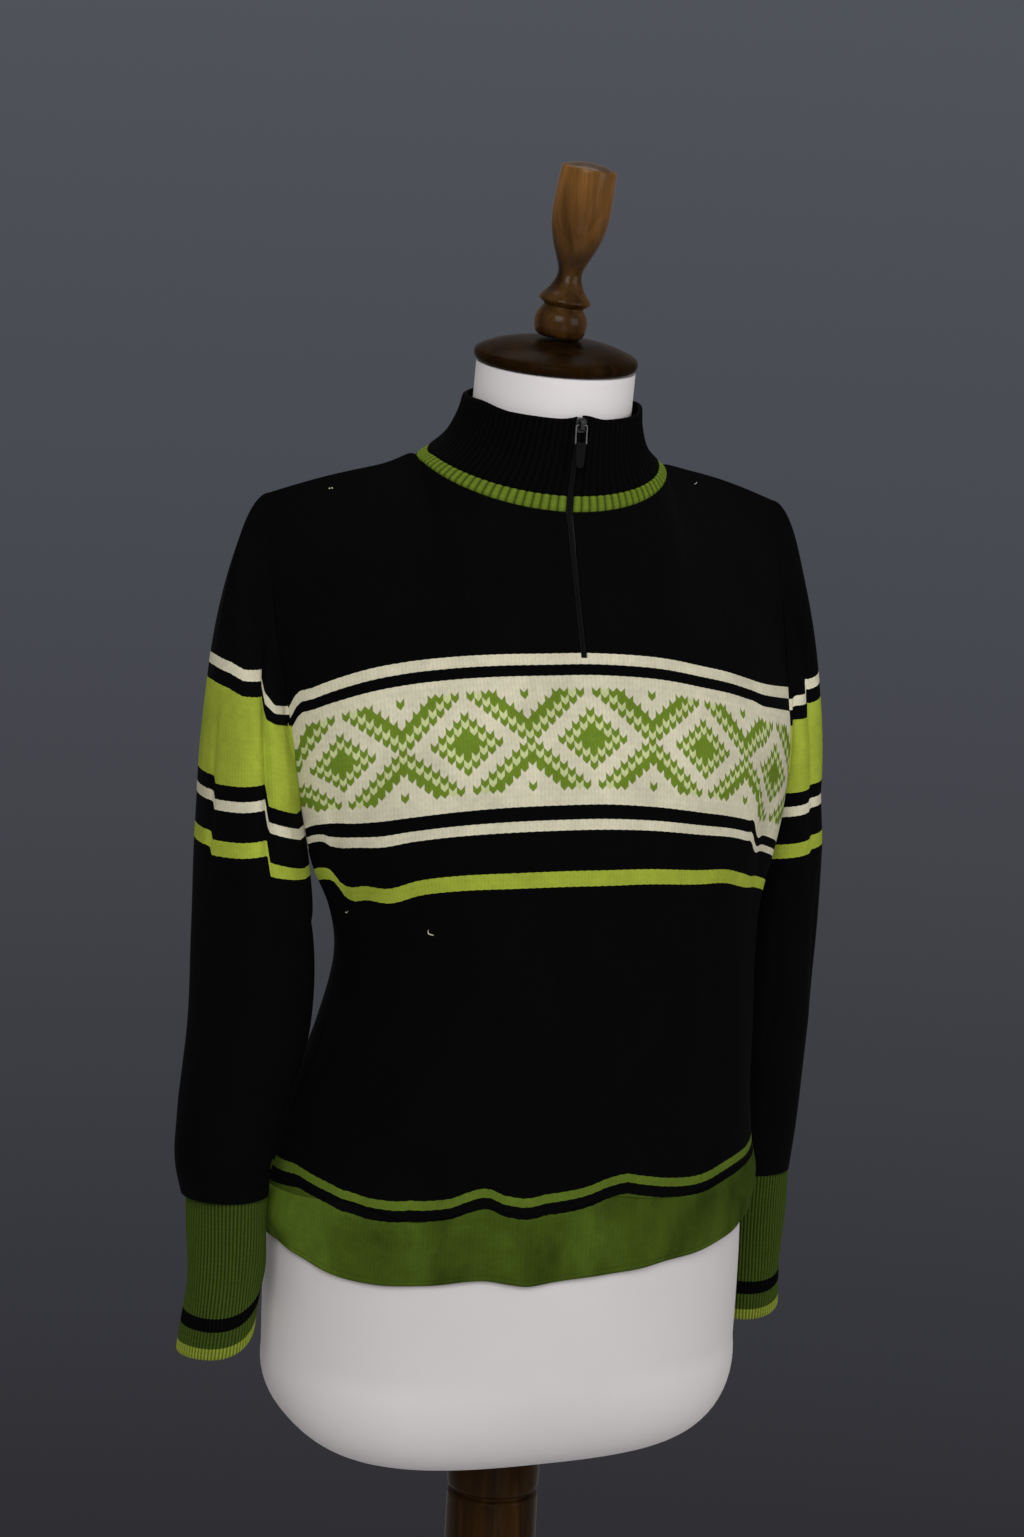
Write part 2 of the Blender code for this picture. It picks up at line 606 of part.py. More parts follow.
def sleeve(name, side, table, creases, material):
    """Builds one sleeve: side is 1 for the wearer's left and -1 for the right."""
    u = sleeve_columns()
    levels = np.linspace(table[-1][0], table[0][0] + 0.5 * SEAM_GAP, SLEEVE_LEVELS)[1:]
    outer = sleeve_grid(table, creases, u, levels, 0.0, side)
    inner = sleeve_grid(table, creases, u, levels, KNIT, side)
    for grid in (outer, inner):
        grid[..., 0] *= side
    points, faces = wall(outer, inner, closed=True)
    if side < 0:
        faces = [tuple(reversed(f)) for f in faces]
    return make(name, place(points), faces, material)


def cuff_rise(name, u, height, low):
    """How far a cuff's lower end is pushed up at places round it."""
    at, width, rise = CUFF_RISES[name]
    near = np.abs((u - at + 0.5) % 1.0 - 0.5)
    begins, ends = RISE_FADES
    fading = 1.0 - soft_step((height - low - begins) / (ends - begins))
    return rise * np.exp(-((near / width) ** 2)) * fading


def cuff(name, side, table, material):
    """Builds one ribbed cuff below its sleeve."""
    low, high = table[0][0], table[-1][0] - 0.5 * SEAM_GAP
    u = np.arange(2 * CUFF_RIBS) / (2 * CUFF_RIBS)
    ridge = (np.arange(2 * CUFF_RIBS) % 2) * RIB_RAISE
    outer = []
    for height in np.linspace(high, low, 3):
        ring = sleeve_section(table, u, height, 0.0)
        centre = ring.mean(axis=0)
        away = ring - centre
        away /= np.linalg.norm(away, axis=1)[:, None]
        ring[:, 2] += cuff_rise(name, u, height, low)
        outer.append(ring + ridge[:, None] * away)
    v = np.arange(CUFF_RIBS // 2) / (CUFF_RIBS // 2)
    inner = []
    for height in np.linspace(high, low, 3):
        ring = sleeve_section(table, v, height, RIBBED)
        ring[:, 2] += cuff_rise(name, v, height, low)
        inner.append(ring)
    outer = np.array(outer)
    inner = np.array(inner)
    for grid in (outer, inner):
        grid[..., 0] *= side
    points, faces = ribbed_wall(outer, inner, closed=True)
    if side < 0:
        faces = [tuple(reversed(f)) for f in faces]
    return make(name, place(points), faces, material)


def sag_share(angle):
    """How much of the collar's sag has come at an angle from the zip."""
    off = np.abs((angle + math.pi) % (2 * math.pi) - math.pi)
    return (1.0 - np.exp(-((off / SAG_BEGINS) ** 2))) * soft_step(2.0 * (SAG_ENDS - off))


def collar_ring(share, angle, inset):
    """Collar points at a share of the way up: angle 0 at the zip, growing toward the wearer's left."""
    half, depth, middle, front_h, side_h, back_h = along(COLLAR_RINGS, share)
    angle = angle + ZIP_DRIFT * np.maximum(np.cos(angle), 0.0)
    c = np.cos(angle)
    x = half * np.sin(angle)
    y = middle - depth * c
    z = side_h + (front_h - side_h) * np.maximum(c, 0.0) ** NECK_DIP
    z += (back_h - side_h) * np.maximum(-c, 0.0) ** BACK_RISE
    z -= COLLAR_SAG * share**3 * sag_share(angle)
    lean = math.radians(COLLAR_BASE_LEAN) * (1.0 - share) ** LEAN_FADES
    level = np.stack([-np.sin(angle), c, np.zeros_like(c)], -1)
    inward = level * math.cos(lean) - np.array([0.0, 0.0, math.sin(lean)])
    return np.stack([x, y, z], -1) + inset * inward


def collar_band(name, low, high, rows, slot, material):
    """A ribbed band round the neck between two shares of the collar's height, open at the zip."""
    cols = 2 * COLLAR_RIBS + 1
    shares = np.linspace(low, high, rows)
    ridge = ((np.arange(cols) % 2)) * RIB_RAISE

    def angles(share, count):
        start = slot / along(COLLAR_RINGS, share)[0]
        return np.linspace(start, 2 * math.pi - start, count)

    outer = []
    for share in shares:
        angle = angles(share, cols)
        base = collar_ring(share, angle, 0.0)
        outward = base - collar_ring(share, angle, 1.0)
        outer.append(base + ridge[:, None] * outward)
    inner_cols = COLLAR_RIBS * 2 // 3 + 1
    inner = [collar_ring(share, angles(share, inner_cols), RIBBED) for share in (shares[0], shares[-1])]
    if rows > 3:
        inner.insert(1, collar_ring(shares[rows // 2], angles(shares[rows // 2], inner_cols), RIBBED))
    points, faces = ribbed_wall(np.array(outer), np.array(inner))
    return make(name, place(points), faces, material)


def hem_band(material):
    """The doubled band at the lower edge, one ring right round."""
    angle = 2 * math.pi * np.arange(HEM_COLUMNS) / HEM_COLUMNS

    def ring(height, inset):
        half, front, back = along(HEM_RINGS, height)
        depth = np.where(np.cos(angle) > 0, front, back) - inset
        x = (half - inset) * np.sin(angle)
        return np.stack([x, -depth * np.cos(angle), np.full_like(angle, height)], -1)

    levels = np.linspace(HEM_RINGS[0][0], HEM_RINGS[-1][0] - 0.5 * SEAM_GAP, 4)
    outer = np.array([ring(h, 0.0) for h in levels])
    inner = np.array([ring(h, HEM_DOUBLE) for h in levels])
    points, faces = wall(outer, inner, closed=True)
    return make("hem_band", place(points), faces, material)


def panel(face, material):
    """Builds the front or the back of the body, with the front's slot for the zip."""
    front = face == "front"
    half = np.linspace(0.0, 1.0, (FRONT_COLUMNS if front else BACK_COLUMNS) // 2 + 1)
    if front:
        half[0] = (ZIP_HALF + SEAM_GAP) / PANEL_HALF_LENGTH
        s = np.concatenate([-half[::-1], half])
    else:
        s = np.concatenate([-half[::-1], half[1:]])
    rows = FRONT_ROWS if front else BACK_ROWS
    lower = np.linspace(rows[0][0], rows[-1][0], FRONT_LOWER_ROWS if front else BACK_LOWER_ROWS)
    upper = UPPER_SHARES
    outer = panel_grid(face, s, lower, upper, 0.0)
    inner = panel_grid(face, s, lower, upper, KNIT)
    keep = np.ones((outer.shape[0] - 1, outer.shape[1] - 1), bool)
    if front:
        slot = len(lower) - 1 + list(upper).index(SLOT_SHARE) + 1
        keep[slot:, len(half) - 1] = False
    points, faces = wall(outer, inner, keep=keep)
    if not front:
        faces = [tuple(reversed(f)) for f in faces]
    return make(face + "_panel", place(points), faces, material)


def lathe(profile, columns):
    """Points and faces of a turned solid from (radius, height) pairs, closed by end fans."""
    points = []
    faces = []
    for radius, height in profile:
        for c in range(columns):
            turn = 2 * math.pi * c / columns
            points.append((radius * math.cos(turn), radius * math.sin(turn), height))
    for r in range(len(profile) - 1):
        for c in range(columns):
            d = (c + 1) % columns
            faces.append((r * columns + c, r * columns + d, (r + 1) * columns + d, (r + 1) * columns + c))
    last = (len(profile) - 1) * columns
    faces.append(tuple(reversed(range(columns))))
    faces.append(tuple(last + c for c in range(columns)))
    return np.array(points), faces


def leaned(points, origin, forward, sideways):
    """Tips points about an origin: forward toward -Y, then toward the wearer's left."""
    a = math.radians(forward)
    b = math.radians(sideways)
    x, y, z = points[:, 0], points[:, 1], points[:, 2]
    y, z = y * math.cos(a) - z * math.sin(a), z * math.cos(a) + y * math.sin(a)
    x, z = x * math.cos(b) + z * math.sin(b), z * math.cos(b) - x * math.sin(b)
    return np.stack([x, y, z], -1) + np.asarray(origin, float)


def form_ring(angle, half, front, back, middle, height, foot=0.0):
    """One ring of the dress form, an oval that grows squarer and tilts sideways toward the foot."""
    power = 1.0 / (1.0 + 0.5 * FOOT_SQUARE * foot)
    c = np.cos(angle)
    across = half * np.sign(np.sin(angle)) * np.abs(np.sin(angle)) ** power
    depth = np.where(c > 0, middle - front, back - middle) * np.sign(c) * np.abs(c) ** power
    return np.stack([across, middle - depth, height + FOOT_TILT * foot * across], -1)


def form_shoulder_ring(shares, w, inset):
    """A ring of the form that follows the panels from within, across the armholes."""
    front = panel_upper("front", shares, w, inset)
    back = panel_upper("back", shares[::-1], w, inset)
    return np.concatenate([front, back])


def form_torso(material):
    """The limbless form: rounded underside, hips, waist, bust, shoulders and leaning neck."""
    order = np.arange(FORM_HALF_COLUMNS) - (FORM_HALF_COLUMNS - 1) / 2
    front_angle = order * math.pi / FORM_HALF_COLUMNS
    angle = np.concatenate([front_angle, front_angle + math.pi])
    shares = FORM_REACH * order / order[-1]
    rings = []
    half, front, back, middle = along(FORM_RINGS, FORM_RINGS[0][0])
    for step in np.linspace(0.0, 1.0, FOOT_STEPS, endpoint=False):
        turn = step * math.pi / 2
        left = 1.0 - math.sin(turn)
        height = FORM_FOOT + (FORM_RINGS[0][0] - FORM_FOOT) * (1.0 - math.cos(turn))
        aside, ahead = (reach * left for reach in FOOT_IN)
        foot = math.cos(turn)
        rings.append(form_ring(angle, half - aside, front + ahead, back - ahead, middle, height, foot))
    for row in FORM_RINGS:
        rings.append(form_ring(angle, *row[1:], row[0]))
    for w, inset in FORM_SHOULDERS:
        rings.append(form_shoulder_ring(shares, w, inset))
    for radius, length in NECK_RINGS:
        ring = np.stack([radius * np.sin(angle), -radius * np.cos(angle), np.full_like(angle, length)], -1)
        rings.append(leaned(ring, NECK_FOOT, NECK_LEAN, 0.0))
    rings = np.array(rings)
    rows, cols = rings.shape[:2]
    faces = []
    for r in range(rows - 1):
        for c in range(cols):
            d = (c + 1) % cols
            faces.append((r * cols + c, r * cols + d, (r + 1) * cols + d, (r + 1) * cols + c))
    faces.append(tuple(reversed(range(cols))))
    faces.append(tuple((rows - 1) * cols + c for c in range(cols)))
    return make("form_torso", place(rings.reshape(-1, 3)), faces, material)


def turned(name, profile, columns, origin, forward, sideways, material):
    """A turned solid stood on an origin and leaned."""
    points, faces = lathe(profile, columns)
    return make(name, place(leaned(points, origin, forward, sideways)), faces, material)


def zip_chain(material):
    """The closed zip from the foot of the slot to the collar's top, flush between the knit edges."""
    path = []
    for w in np.linspace(SLOT_SHARE, 1.0, 8):
        outer = panel_upper("front", np.array([0.0]), w, 0.0)[0]
        inner = panel_upper("front", np.array([0.0]), w, KNIT)[0]
        path.append((outer, inner))
    for share in np.linspace(TRIM_TOP * 0.4, ZIP_TOP_SHARE, 9):
        outer = collar_ring(share, np.array([0.0]), 0.0)[0]
        inner = collar_ring(share, np.array([0.0]), RIBBED)[0]
        path.append((outer, inner))
    points = []
    faces = []
    for i, (outer, inner) in enumerate(path):
        lift = SEAM_GAP + 0.2 if i == 0 else 0.0
        for point in (outer, inner):
            for side in (-1.0, 1.0):
                points.append(point + np.array([side * ZIP_HALF, 0.0, lift]))
        if i:
            a, b = 4 * (i - 1), 4 * i
            for p, q in ((0, 1), (1, 3), (3, 2), (2, 0)):
                faces.append((a + p, a + q, b + q, b + p))
    faces.append((0, 2, 3, 1))
    end = 4 * (len(path) - 1)
    faces.append((end + 0, end + 1, end + 3, end + 2))
    return make("zip_chain", place(points), faces, material)


def rounded_outline(wide, tall, corner, steps):
    """Outline of a rounded rectangle about its centre, counter-clockwise."""
    points = []
    for sx, sz, start in ((1, 1, 0), (-1, 1, 90), (-1, -1, 180), (1, -1, 270)):
        for k in range(steps + 1):
            turn = math.radians(start + 90.0 * k / steps)
            x = sx * (wide / 2 - corner) + corner * math.cos(turn)
            z = sz * (tall / 2 - corner) + corner * math.sin(turn)
            points.append((x, z))
    return points


def plate(outline, hole, near, far):
    """A flat plate standing in the XZ plane between two depths, with a hole of as many points or none."""
    points = []
    count = len(outline)
    loops = [outline] + ([hole] if hole else [])
    for y in (near, far):
        for loop in loops:
            points += [(x, y, z) for x, z in loop]
    faces = []
    step = count * len(loops)
    for i in range(count):
        j = (i + 1) % count
        faces.append((i, j, step + j, step + i))
        if hole:
            faces.append((count + j, count + i, step + count + i, step + count + j))
            faces.append((j, i, count + i, count + j))
            faces.append((step + i, step + j, step + count + j, step + count + i))
    if not hole:
        faces.append(tuple(reversed(range(count))))
        faces.append(tuple(step + i for i in range(count)))
    faces = [tuple(reversed(f)) for f in faces]
    return np.array(points, float), faces


def tipped(points, origin, degrees):
    """Tips points about the X axis so that their top moves forward, then moves them to an origin."""
    return leaned(np.asarray(points, float), origin, degrees, 0.0)


def bridge():
    """The slider's arch, in front of its plate, as (points, faces)."""
    count = len(ARCH_SIDE)
    points = [(x, y, z) for x in (-ARCH_HALF, ARCH_HALF) for z, y in ARCH_SIDE]
    faces = []
    for i in range(count):
        j = (i + 1) % count
        faces.append((i, j, count + j, count + i))
    for a, b, c, d in ((0, 1, 10, 11), (1, 2, 9, 10), (2, 3, 8, 9), (3, 4, 7, 8), (4, 5, 6, 7)):
        faces.append((d, c, b, a))
        faces.append((count + a, count + b, count + c, count + d))
    return np.array(points, float), faces


def zip_slider(material):
    """The slider at the collar's top: a rounded plate with its arch joined to it."""
    wide, tall, corner, thick = SLIDER_PLATE
    plain = plate(rounded_outline(wide, tall, corner, 4), None, 0.0, -thick)
    body = make("zip_slider", *slider_part(plain), material)
    arch = make("slider_arch", *slider_part(bridge()), material)
    for item in (body, arch):
        face_out(item)
    union = body.modifiers.new("arch", "BOOLEAN")
    union.operation = "UNION"
    union.solver = "EXACT"
    union.object = arch
    depsgraph = bpy.context.evaluated_depsgraph_get()
    whole = bpy.data.meshes.new_from_object(body.evaluated_get(depsgraph))
    body.modifiers.clear()
    body.data = whole
    bpy.data.objects.remove(arch)
    return body


def slider_part(body):
    """Stands a body of the slider on the collar's leaning front."""
    points, faces = body
    return place(tipped(points, SLIDER_AT, SLIDER_LEAN)), faces


def face_out(item):
    """Turns an object's faces to point out of the solid."""
    mesh = item.data
    points = np.array([v.co[:] for v in mesh.vertices])
    volume = 0.0
    for face in mesh.polygons:
        ids = face.vertices
        for k in range(1, len(ids) - 1):
            volume += np.dot(points[ids[0]], np.cross(points[ids[k]], points[ids[k + 1]]))
    if volume < 0:
        mesh.flip_normals()


def pull_loop(material):
    """The wire ring that hangs from the slider's arch."""
    path = rounded_outline(LOOP_WIDE, LOOP_TALL, 1.0, 3)
    count = len(path)
    points = []
    faces = []
    sides = WIRE_SIDES
    for i, (x, z) in enumerate(path):
        before, after = path[i - 1], path[(i + 1) % count]
        tangent = np.array([after[0] - before[0], after[1] - before[1]])
        tangent /= np.linalg.norm(tangent)
        out = np.array([tangent[1], -tangent[0]])
        for k in range(sides):
            turn = 2 * math.pi * k / sides
            reach = WIRE * math.cos(turn)
            points.append((x + out[0] * reach, WIRE * math.sin(turn), z + out[1] * reach - LOOP_TALL / 2))
    for i in range(count):
        j = (i + 1) % count
        for k in range(sides):
            m = (k + 1) % sides
            faces.append((i * sides + k, i * sides + m, j * sides + m, j * sides + k))
    return make("pull_loop", place(np.array(points) + np.array(HINGE)), faces, material)


def pull_tab(material):
    """The pull tab, a strap folded round the ring's lower bar."""
    eye, round_eye = TAB_EYE
    turns = [math.radians(degrees) for degrees in range(0, 181, 30)]
    outline = [(round_eye * math.cos(turn), round_eye * math.sin(turn)) for turn in turns]
    shoulder = -3.0 * TAB_HALF_THICK
    for side in (-1.0, 1.0):
        half = [(side * TAB_HALF_THICK, shoulder), (side * TAB_HALF_THICK, TAB_END - TAB_LENGTH),
                (side * 0.5 * TAB_HALF_THICK, -TAB_LENGTH)]
        outline += half if side < 0 else reversed(half)
    hole = []
    for y, z in outline:
        reach = math.hypot(y, z)
        hole.append((eye * y / reach, eye * z / reach))
    points, faces = plate(outline, hole, -TAB_WIDE / 2, TAB_WIDE / 2)
    points = points[:, [1, 0, 2]]
    narrow, tapered = TAB_TAPER[1], TAB_TAPER[0]
    heights = (-TAB_LENGTH, TAB_END - TAB_LENGTH, shoulder)
    points[:, 0] *= np.interp(points[:, 2], heights, (narrow, tapered, 1.0))
    at = np.array(HINGE) + np.array([0.0, 0.0, -LOOP_TALL])
    return make("pull_tab", place(points + at), faces, material)


def clear_scene():
    """Removes whatever the scene holds."""
    for item in list(bpy.data.objects):
        bpy.data.objects.remove(item)


def build():
    """Builds every piece."""
    clear_scene()
    panel("front", surface("front_knit", BLACK, WOOLLY))
    panel("back", surface("back_knit", BLACK, WOOLLY))
    hem_band(surface("hem_knit", DARK_GREEN, WOOLLY))
    sleeve("sleeve_right", -1, RIGHT_SLEEVE, RIGHT_CREASES, surface("sleeve_right_knit", BLACK, WOOLLY))
    sleeve("sleeve_left", 1, LEFT_SLEEVE, LEFT_CREASES, surface("sleeve_left_knit", BLACK, WOOLLY))
    cuff("cuff_right", -1, RIGHT_CUFF, surface("cuff_right_rib", DARK_GREEN, WOOLLY))
    cuff("cuff_left", 1, LEFT_CUFF, surface("cuff_left_rib", DARK_GREEN, WOOLLY))
    trim_top = TRIM_TOP - TRIM_GAP_SHARE
    collar_band("collar_trim", TRIM_FOOT_SHARE, trim_top, 3, TRIM_SLOT, surface("trim_rib", GREEN, WOOLLY))
    collar_band("collar", TRIM_TOP, 1.0, 4, ZIP_HALF + SEAM_GAP, surface("collar_rib", BLACK, WOOLLY))
    zip_chain(surface("zip_coil", (0.02, 0.02, 0.02), 0.5))
    zip_slider(surface("slider_metal", (0.25, 0.25, 0.25), 0.3, 1.0))
    pull_loop(surface("loop_metal", (0.5, 0.5, 0.5), 0.3, 1.0))
    pull_tab(surface("tab_strap", (0.02, 0.02, 0.02), 0.6))
    form_torso(surface("form_cover", (0.75, 0.73, 0.72), 0.8))
    foot = (0.0, 0.0, 0.0)
    turned("neck_cap", CAP_PROFILE, 32, CAP_FOOT, NECK_LEAN, 0.0, surface("cap_wood", WOOD, 0.25))
    finial_wood = surface("finial_wood", WOOD, 0.25)
    turned("finial", FINIAL_PROFILE, 20, FINIAL_FOOT, NECK_LEAN, FINIAL_SIDE_LEAN, finial_wood)
    turned("post", POST_PROFILE, 32, foot, 0.0, 0.0, surface("post_wood", WOOD, 0.3))
    turned("base", BASE_PROFILE, 44, foot, 0.0, 0.0, surface("base_wood", WOOD, 0.35))
    for item in bpy.data.objects:
        face_out(item)


build()
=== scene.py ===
"""Looks of the half-zip sweater on its dress form.

Heights in the tables are millimetres above the groove turned in the post. The wearer's front faces -Y and the
wearer's left is +X. The cloth pieces repeat the part's own sizes on a finer grid, with the finer folds,
ribs, stripes and stitches added.
"""

import json
import math

import bpy
import numpy as np
from mathutils import Matrix, Vector

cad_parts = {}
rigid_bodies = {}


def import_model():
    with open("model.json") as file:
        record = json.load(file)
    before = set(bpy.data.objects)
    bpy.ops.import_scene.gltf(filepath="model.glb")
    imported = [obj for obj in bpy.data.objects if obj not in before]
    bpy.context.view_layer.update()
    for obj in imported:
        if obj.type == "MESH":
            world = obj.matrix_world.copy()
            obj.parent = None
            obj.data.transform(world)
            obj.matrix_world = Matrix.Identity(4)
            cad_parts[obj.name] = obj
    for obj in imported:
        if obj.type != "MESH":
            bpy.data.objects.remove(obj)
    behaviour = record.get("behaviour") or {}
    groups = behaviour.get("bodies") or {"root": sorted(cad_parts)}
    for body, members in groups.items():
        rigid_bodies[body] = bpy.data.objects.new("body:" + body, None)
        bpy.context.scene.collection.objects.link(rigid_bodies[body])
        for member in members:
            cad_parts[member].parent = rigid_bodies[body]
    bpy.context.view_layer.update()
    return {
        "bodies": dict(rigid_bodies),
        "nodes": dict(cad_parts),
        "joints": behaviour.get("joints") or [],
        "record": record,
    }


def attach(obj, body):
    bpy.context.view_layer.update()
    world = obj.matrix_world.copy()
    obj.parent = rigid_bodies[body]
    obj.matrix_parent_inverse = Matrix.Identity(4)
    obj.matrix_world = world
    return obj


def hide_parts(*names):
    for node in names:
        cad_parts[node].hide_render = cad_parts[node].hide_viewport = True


MM = 0.001
GROOVE = 0.730
BODY = "garment_on_form"

# Cloth thicknesses and gaps in mm, and how much further in a panel's inside lies at a sharp side
KNIT = 2.0
RIBBED = 2.4
HEM_DOUBLE = 2.6
SEAM_GAP = 0.35
SLEEVE_GAP = 0.12
LENS_INSET = 0.45

# Points of the grids: columns of half a panel and its rows below the underarm, beside the slot and above it;
# columns of the hem; columns, head rows and arm rows of a sleeve; points to a rib
PANEL_COLUMNS = 85
PANEL_LEVELS = (112, 24, 40)
HEM_COLUMNS = 320
SLEEVE_GRID = (168, 56, 92)
PER_RIB = 8
# Columns of half the form, and its rows at the foot, up the body and up the neck
FORM_GRID = (85, 18, 60, 20)
# Fine uneven ripple of the cloth: its size on the panels and the sleeves, and its height
PANEL_RIPPLE = 26.0
SLEEVE_RIPPLE = 21.0
RIPPLE_HEIGHT = 0.35

# Front and back panels below the underarm, from the hem seam up. Columns: height of a knit row at the
# middle, its height at the side seam, half width there, shift of the whole row to the wearer's left,
# depth of the side seam, then for the front and for the back depth of the middle, roundness of the middle
# and roundness of the side.
PANEL_ROWS = (
    ((237.5, 237.5, 175, 0, 0), (-118, 2.2, 2), (120.5, 2.2, 2)),
    ((285, 284, 165.5, 6, -3), (-114.5, 2.2, 1.95), (117, 2.2, 1.95)),
    ((340, 337, 156.5, 14, -10), (-110, 2.2, 1.8), (104, 2.2, 1.8)),
    ((395, 388, 152, 16, -17), (-108, 2.2, 1.6), (92, 2.2, 1.6)),
    ((440, 424, 157, 12, -21), (-108.5, 2.2, 1.45), (89, 2.2, 1.5)),
    ((480, 456, 168, 8, -23), (-110, 2.3, 1.3), (91, 2.2, 1.4)),
    ((520, 489, 175, 7.5, -22), (-108, 2.4, 1.2), (96, 2.2, 1.35)),
    ((545, 510, 178, 7, -20), (-103, 2.4, 1.15), (98, 2.2, 1.3)),
)
FRONT_ROWS = tuple(side + front for side, front, back in PANEL_ROWS)
BACK_ROWS = tuple(side + back for side, front, back in PANEL_ROWS)

# Folds of the panels below the underarm. Columns: place across (-1 to 1) and height at the lower end,
# the same at the upper end, half width, how far the cloth stands out there.
FRONT_FOLDS = (
    (-0.95, 310, -0.66, 480, 15, 4),
    (-0.74, 285, -0.50, 430, 17, -3),
    (0.86, 400, 0.80, 520, 14, -4.5),
    (0.70, 250, 0.62, 430, 20, 3),
    (0.16, 245, 0.22, 380, 22, -2.5),
    (-0.92, 420, -0.86, 520, 6, -2.5),
    (-0.60, 240, -0.52, 330, 9, 2),
    (-0.30, 240, -0.34, 300, 9, -1.6),
    (0.42, 240, 0.36, 330, 10, 1.8),
)
BACK_FOLDS = (
    (-0.62, 300, -0.20, 430, 20, -4),
    (0.60, 310, 0.16, 450, 20, -4.5),
    (0.30, 250, 0.48, 400, 22, 3.5),
    (-0.40, 250, -0.50, 390, 22, 3),
    (-0.10, 380, 0.20, 420, 9, -2.2),
    (-0.30, 410, 0.10, 445, 8, 1.8),
    (0.10, 240, 0.05, 330, 10, 1.8),
)
# Shares: of a row's shift that its middle doesn't take, of a fold's height that goes sideways at the seams,
# and of a row's droop that comes early
MIDDLE_STAYS = 0.6
FOLD_SIDEWAYS = 0.9
DROOP_SOON = 0.3

# Armhole edges from the underarm up to the shoulder tip. Columns: height, half width, shift to the wearer's
# left, depth, then the direction in which the wall's inside lies.
FRONT_ARMHOLE = (
    (510, 178, 7, -20, -1, 0, 0),
    (535, 180.5, 7.5, -14, -0.95, 0.3, 0),
    (562, 182.5, 7, -4, -0.8, 0.6, 0),
    (600, 184.5, 5, 7, -0.6, 0.8, -0.1),
    (640, 185.5, 2.5, 16, -0.4, 0.85, -0.3),
    (670, 185, 1, 23.5, -0.2, 0.7, -0.7),
    (695, 183, 0, 28, 0, 0, -1),
)
BACK_ARMHOLE = (
    (510, 178, 7, -20, -1, 0, 0),
    (535, 176, 7.5, 8, -0.8, -0.6, 0),
    (562, 176.5, 7, 34, -0.4, -0.9, 0),
    (600, 178.5, 5, 54, -0.3, -1, -0.1),
    (640, 182, 2.5, 59, -0.2, -0.9, -0.3),
    (670, 184, 1, 48, -0.1, -0.7, -0.7),
    (695, 183, 0, 28, 0, 0, -1),
)

# Neckline and shoulders
NECK_HALF = 87.5
NECK_SIDE = (5, 720)
FRONT_NECK = (-60, 693.5)
ZIP_DRIFT = -0.06
BACK_NECK = (70, 730)
NECK_SHARE = 0.5
NECK_BLUR = 0.16
UPPER_BULGE = {"front": 9.0, "back": 13.0}
ZIP_HALF = 1.7
NECK_DIP = 1.3
BACK_RISE = 1.5
SEAM_ARCH = 3.0
# How far the cloth stands up beside the neck on the wearer's right and left, and the share where it does
NECK_SWELL = (5.5, 1)
SWELL_AT = 0.06
SLOT_SHARE = 0.377
# Way to the wall's inside at the neckline: across, in depth and down
NECK_INWARD = (0.5, 0.6, -0.8)
# Share of the shoulder over which its inside takes up the neckline's
NECK_CORNER = 0.15
# How much thicker the wall is at the underarm, and up to which share of the armhole
UNDERARM_THICKER = (0.4, 0.1)
# How far to each side the corner between neckline and shoulder is smoothed, and which way the chest bulges
BLUR_REACH = 0.25
BULGE_WAY = (0.3, 0.85, 0.4)
PANEL_HALF_LENGTH = 212.0

# Collar rings from the neckline up. Columns: share of the way, half width, half depth, middle depth,
# height at the front, at the sides and at the back.
COLLAR_RINGS = (
    (0.00, 87.5, 65, 5, 693.5, 720, 730),
    (0.17, 80, 62, 2.5, 704.5, 725, 736),
    (0.40, 69.5, 60.5, -0.5, 719.5, 734, 745),
    (0.70, 62, 59, -4.5, 738.5, 749, 758),
    (1.00, 59, 58.5, -8, 757, 763.5, 769),
)
# Sag of the collar's top edge beside the zip, where it begins and where it ends, as angles
COLLAR_SAG = 3.0
SAG_BEGINS = 0.16
SAG_ENDS = 1.35
# Trim and collar: shares of the way up, half width of the trim's opening, lean of the cloth at the neckline
# in degrees and how fast it fades, ribs round and height along the cloth
TRIM_TOP = 0.17
TRIM_FOOT_SHARE = 0.012
TRIM_GAP_SHARE = 0.008
TRIM_SLOT = 2.4
ZIP_TOP_SHARE = 0.985
COLLAR_BASE_LEAN = 53.0
LEAN_FADES = 1.5
COLLAR_RIBS = 90
COLLAR_LENGTH = 70.0

# Sleeves: height, half width position, depth position, half size across, half size in depth
RIGHT_SLEEVE = (
    (232, 208.5, -14, 29.5, 30),
    (250, 210.5, -14, 31.5, 33),
    (285, 206.5, -14, 35.5, 36),
    (345, 196, -13, 40.5, 40),
    (405, 194.5, -8, 40, 46),
    (450, 197, 0, 34, 52),
    (490, 199.5, 6, 28, 54),
)
LEFT_SLEEVE = (
    (211, 204, 42, 29.5, 29),
    (235, 204, 43, 32, 32),
    (285, 203, 42, 35, 36),
    (345, 201, 38, 36, 43),
    (405, 201, 36, 36, 46),
    (450, 202, 36, 34, 48),
    (490, 201, 38, 31, 50),
)
RIGHT_CUFF = (
    (122.5, 210.5, -14, 25.4, 25.5),
    (172, 206, -14, 25.2, 25.5),
    (232, 206.5, -14, 26.5, 27),
)
LEFT_CUFF = (
    (102, 206.2, 43, 24.4, 25),
    (158, 205.6, 43, 25.6, 25.8),
    (211, 204.5, 42, 27.5, 27.5),
)
# Where the lower end of each cuff is pushed up. Columns: place round the cuff, width, rise.
CUFF_RISES = {"cuff_right": (0.5, 0.18, 19), "cuff_left": (0, 0.15, 7)}
RISE_FADES = (20, 80)
CUFF_RIBS = 66
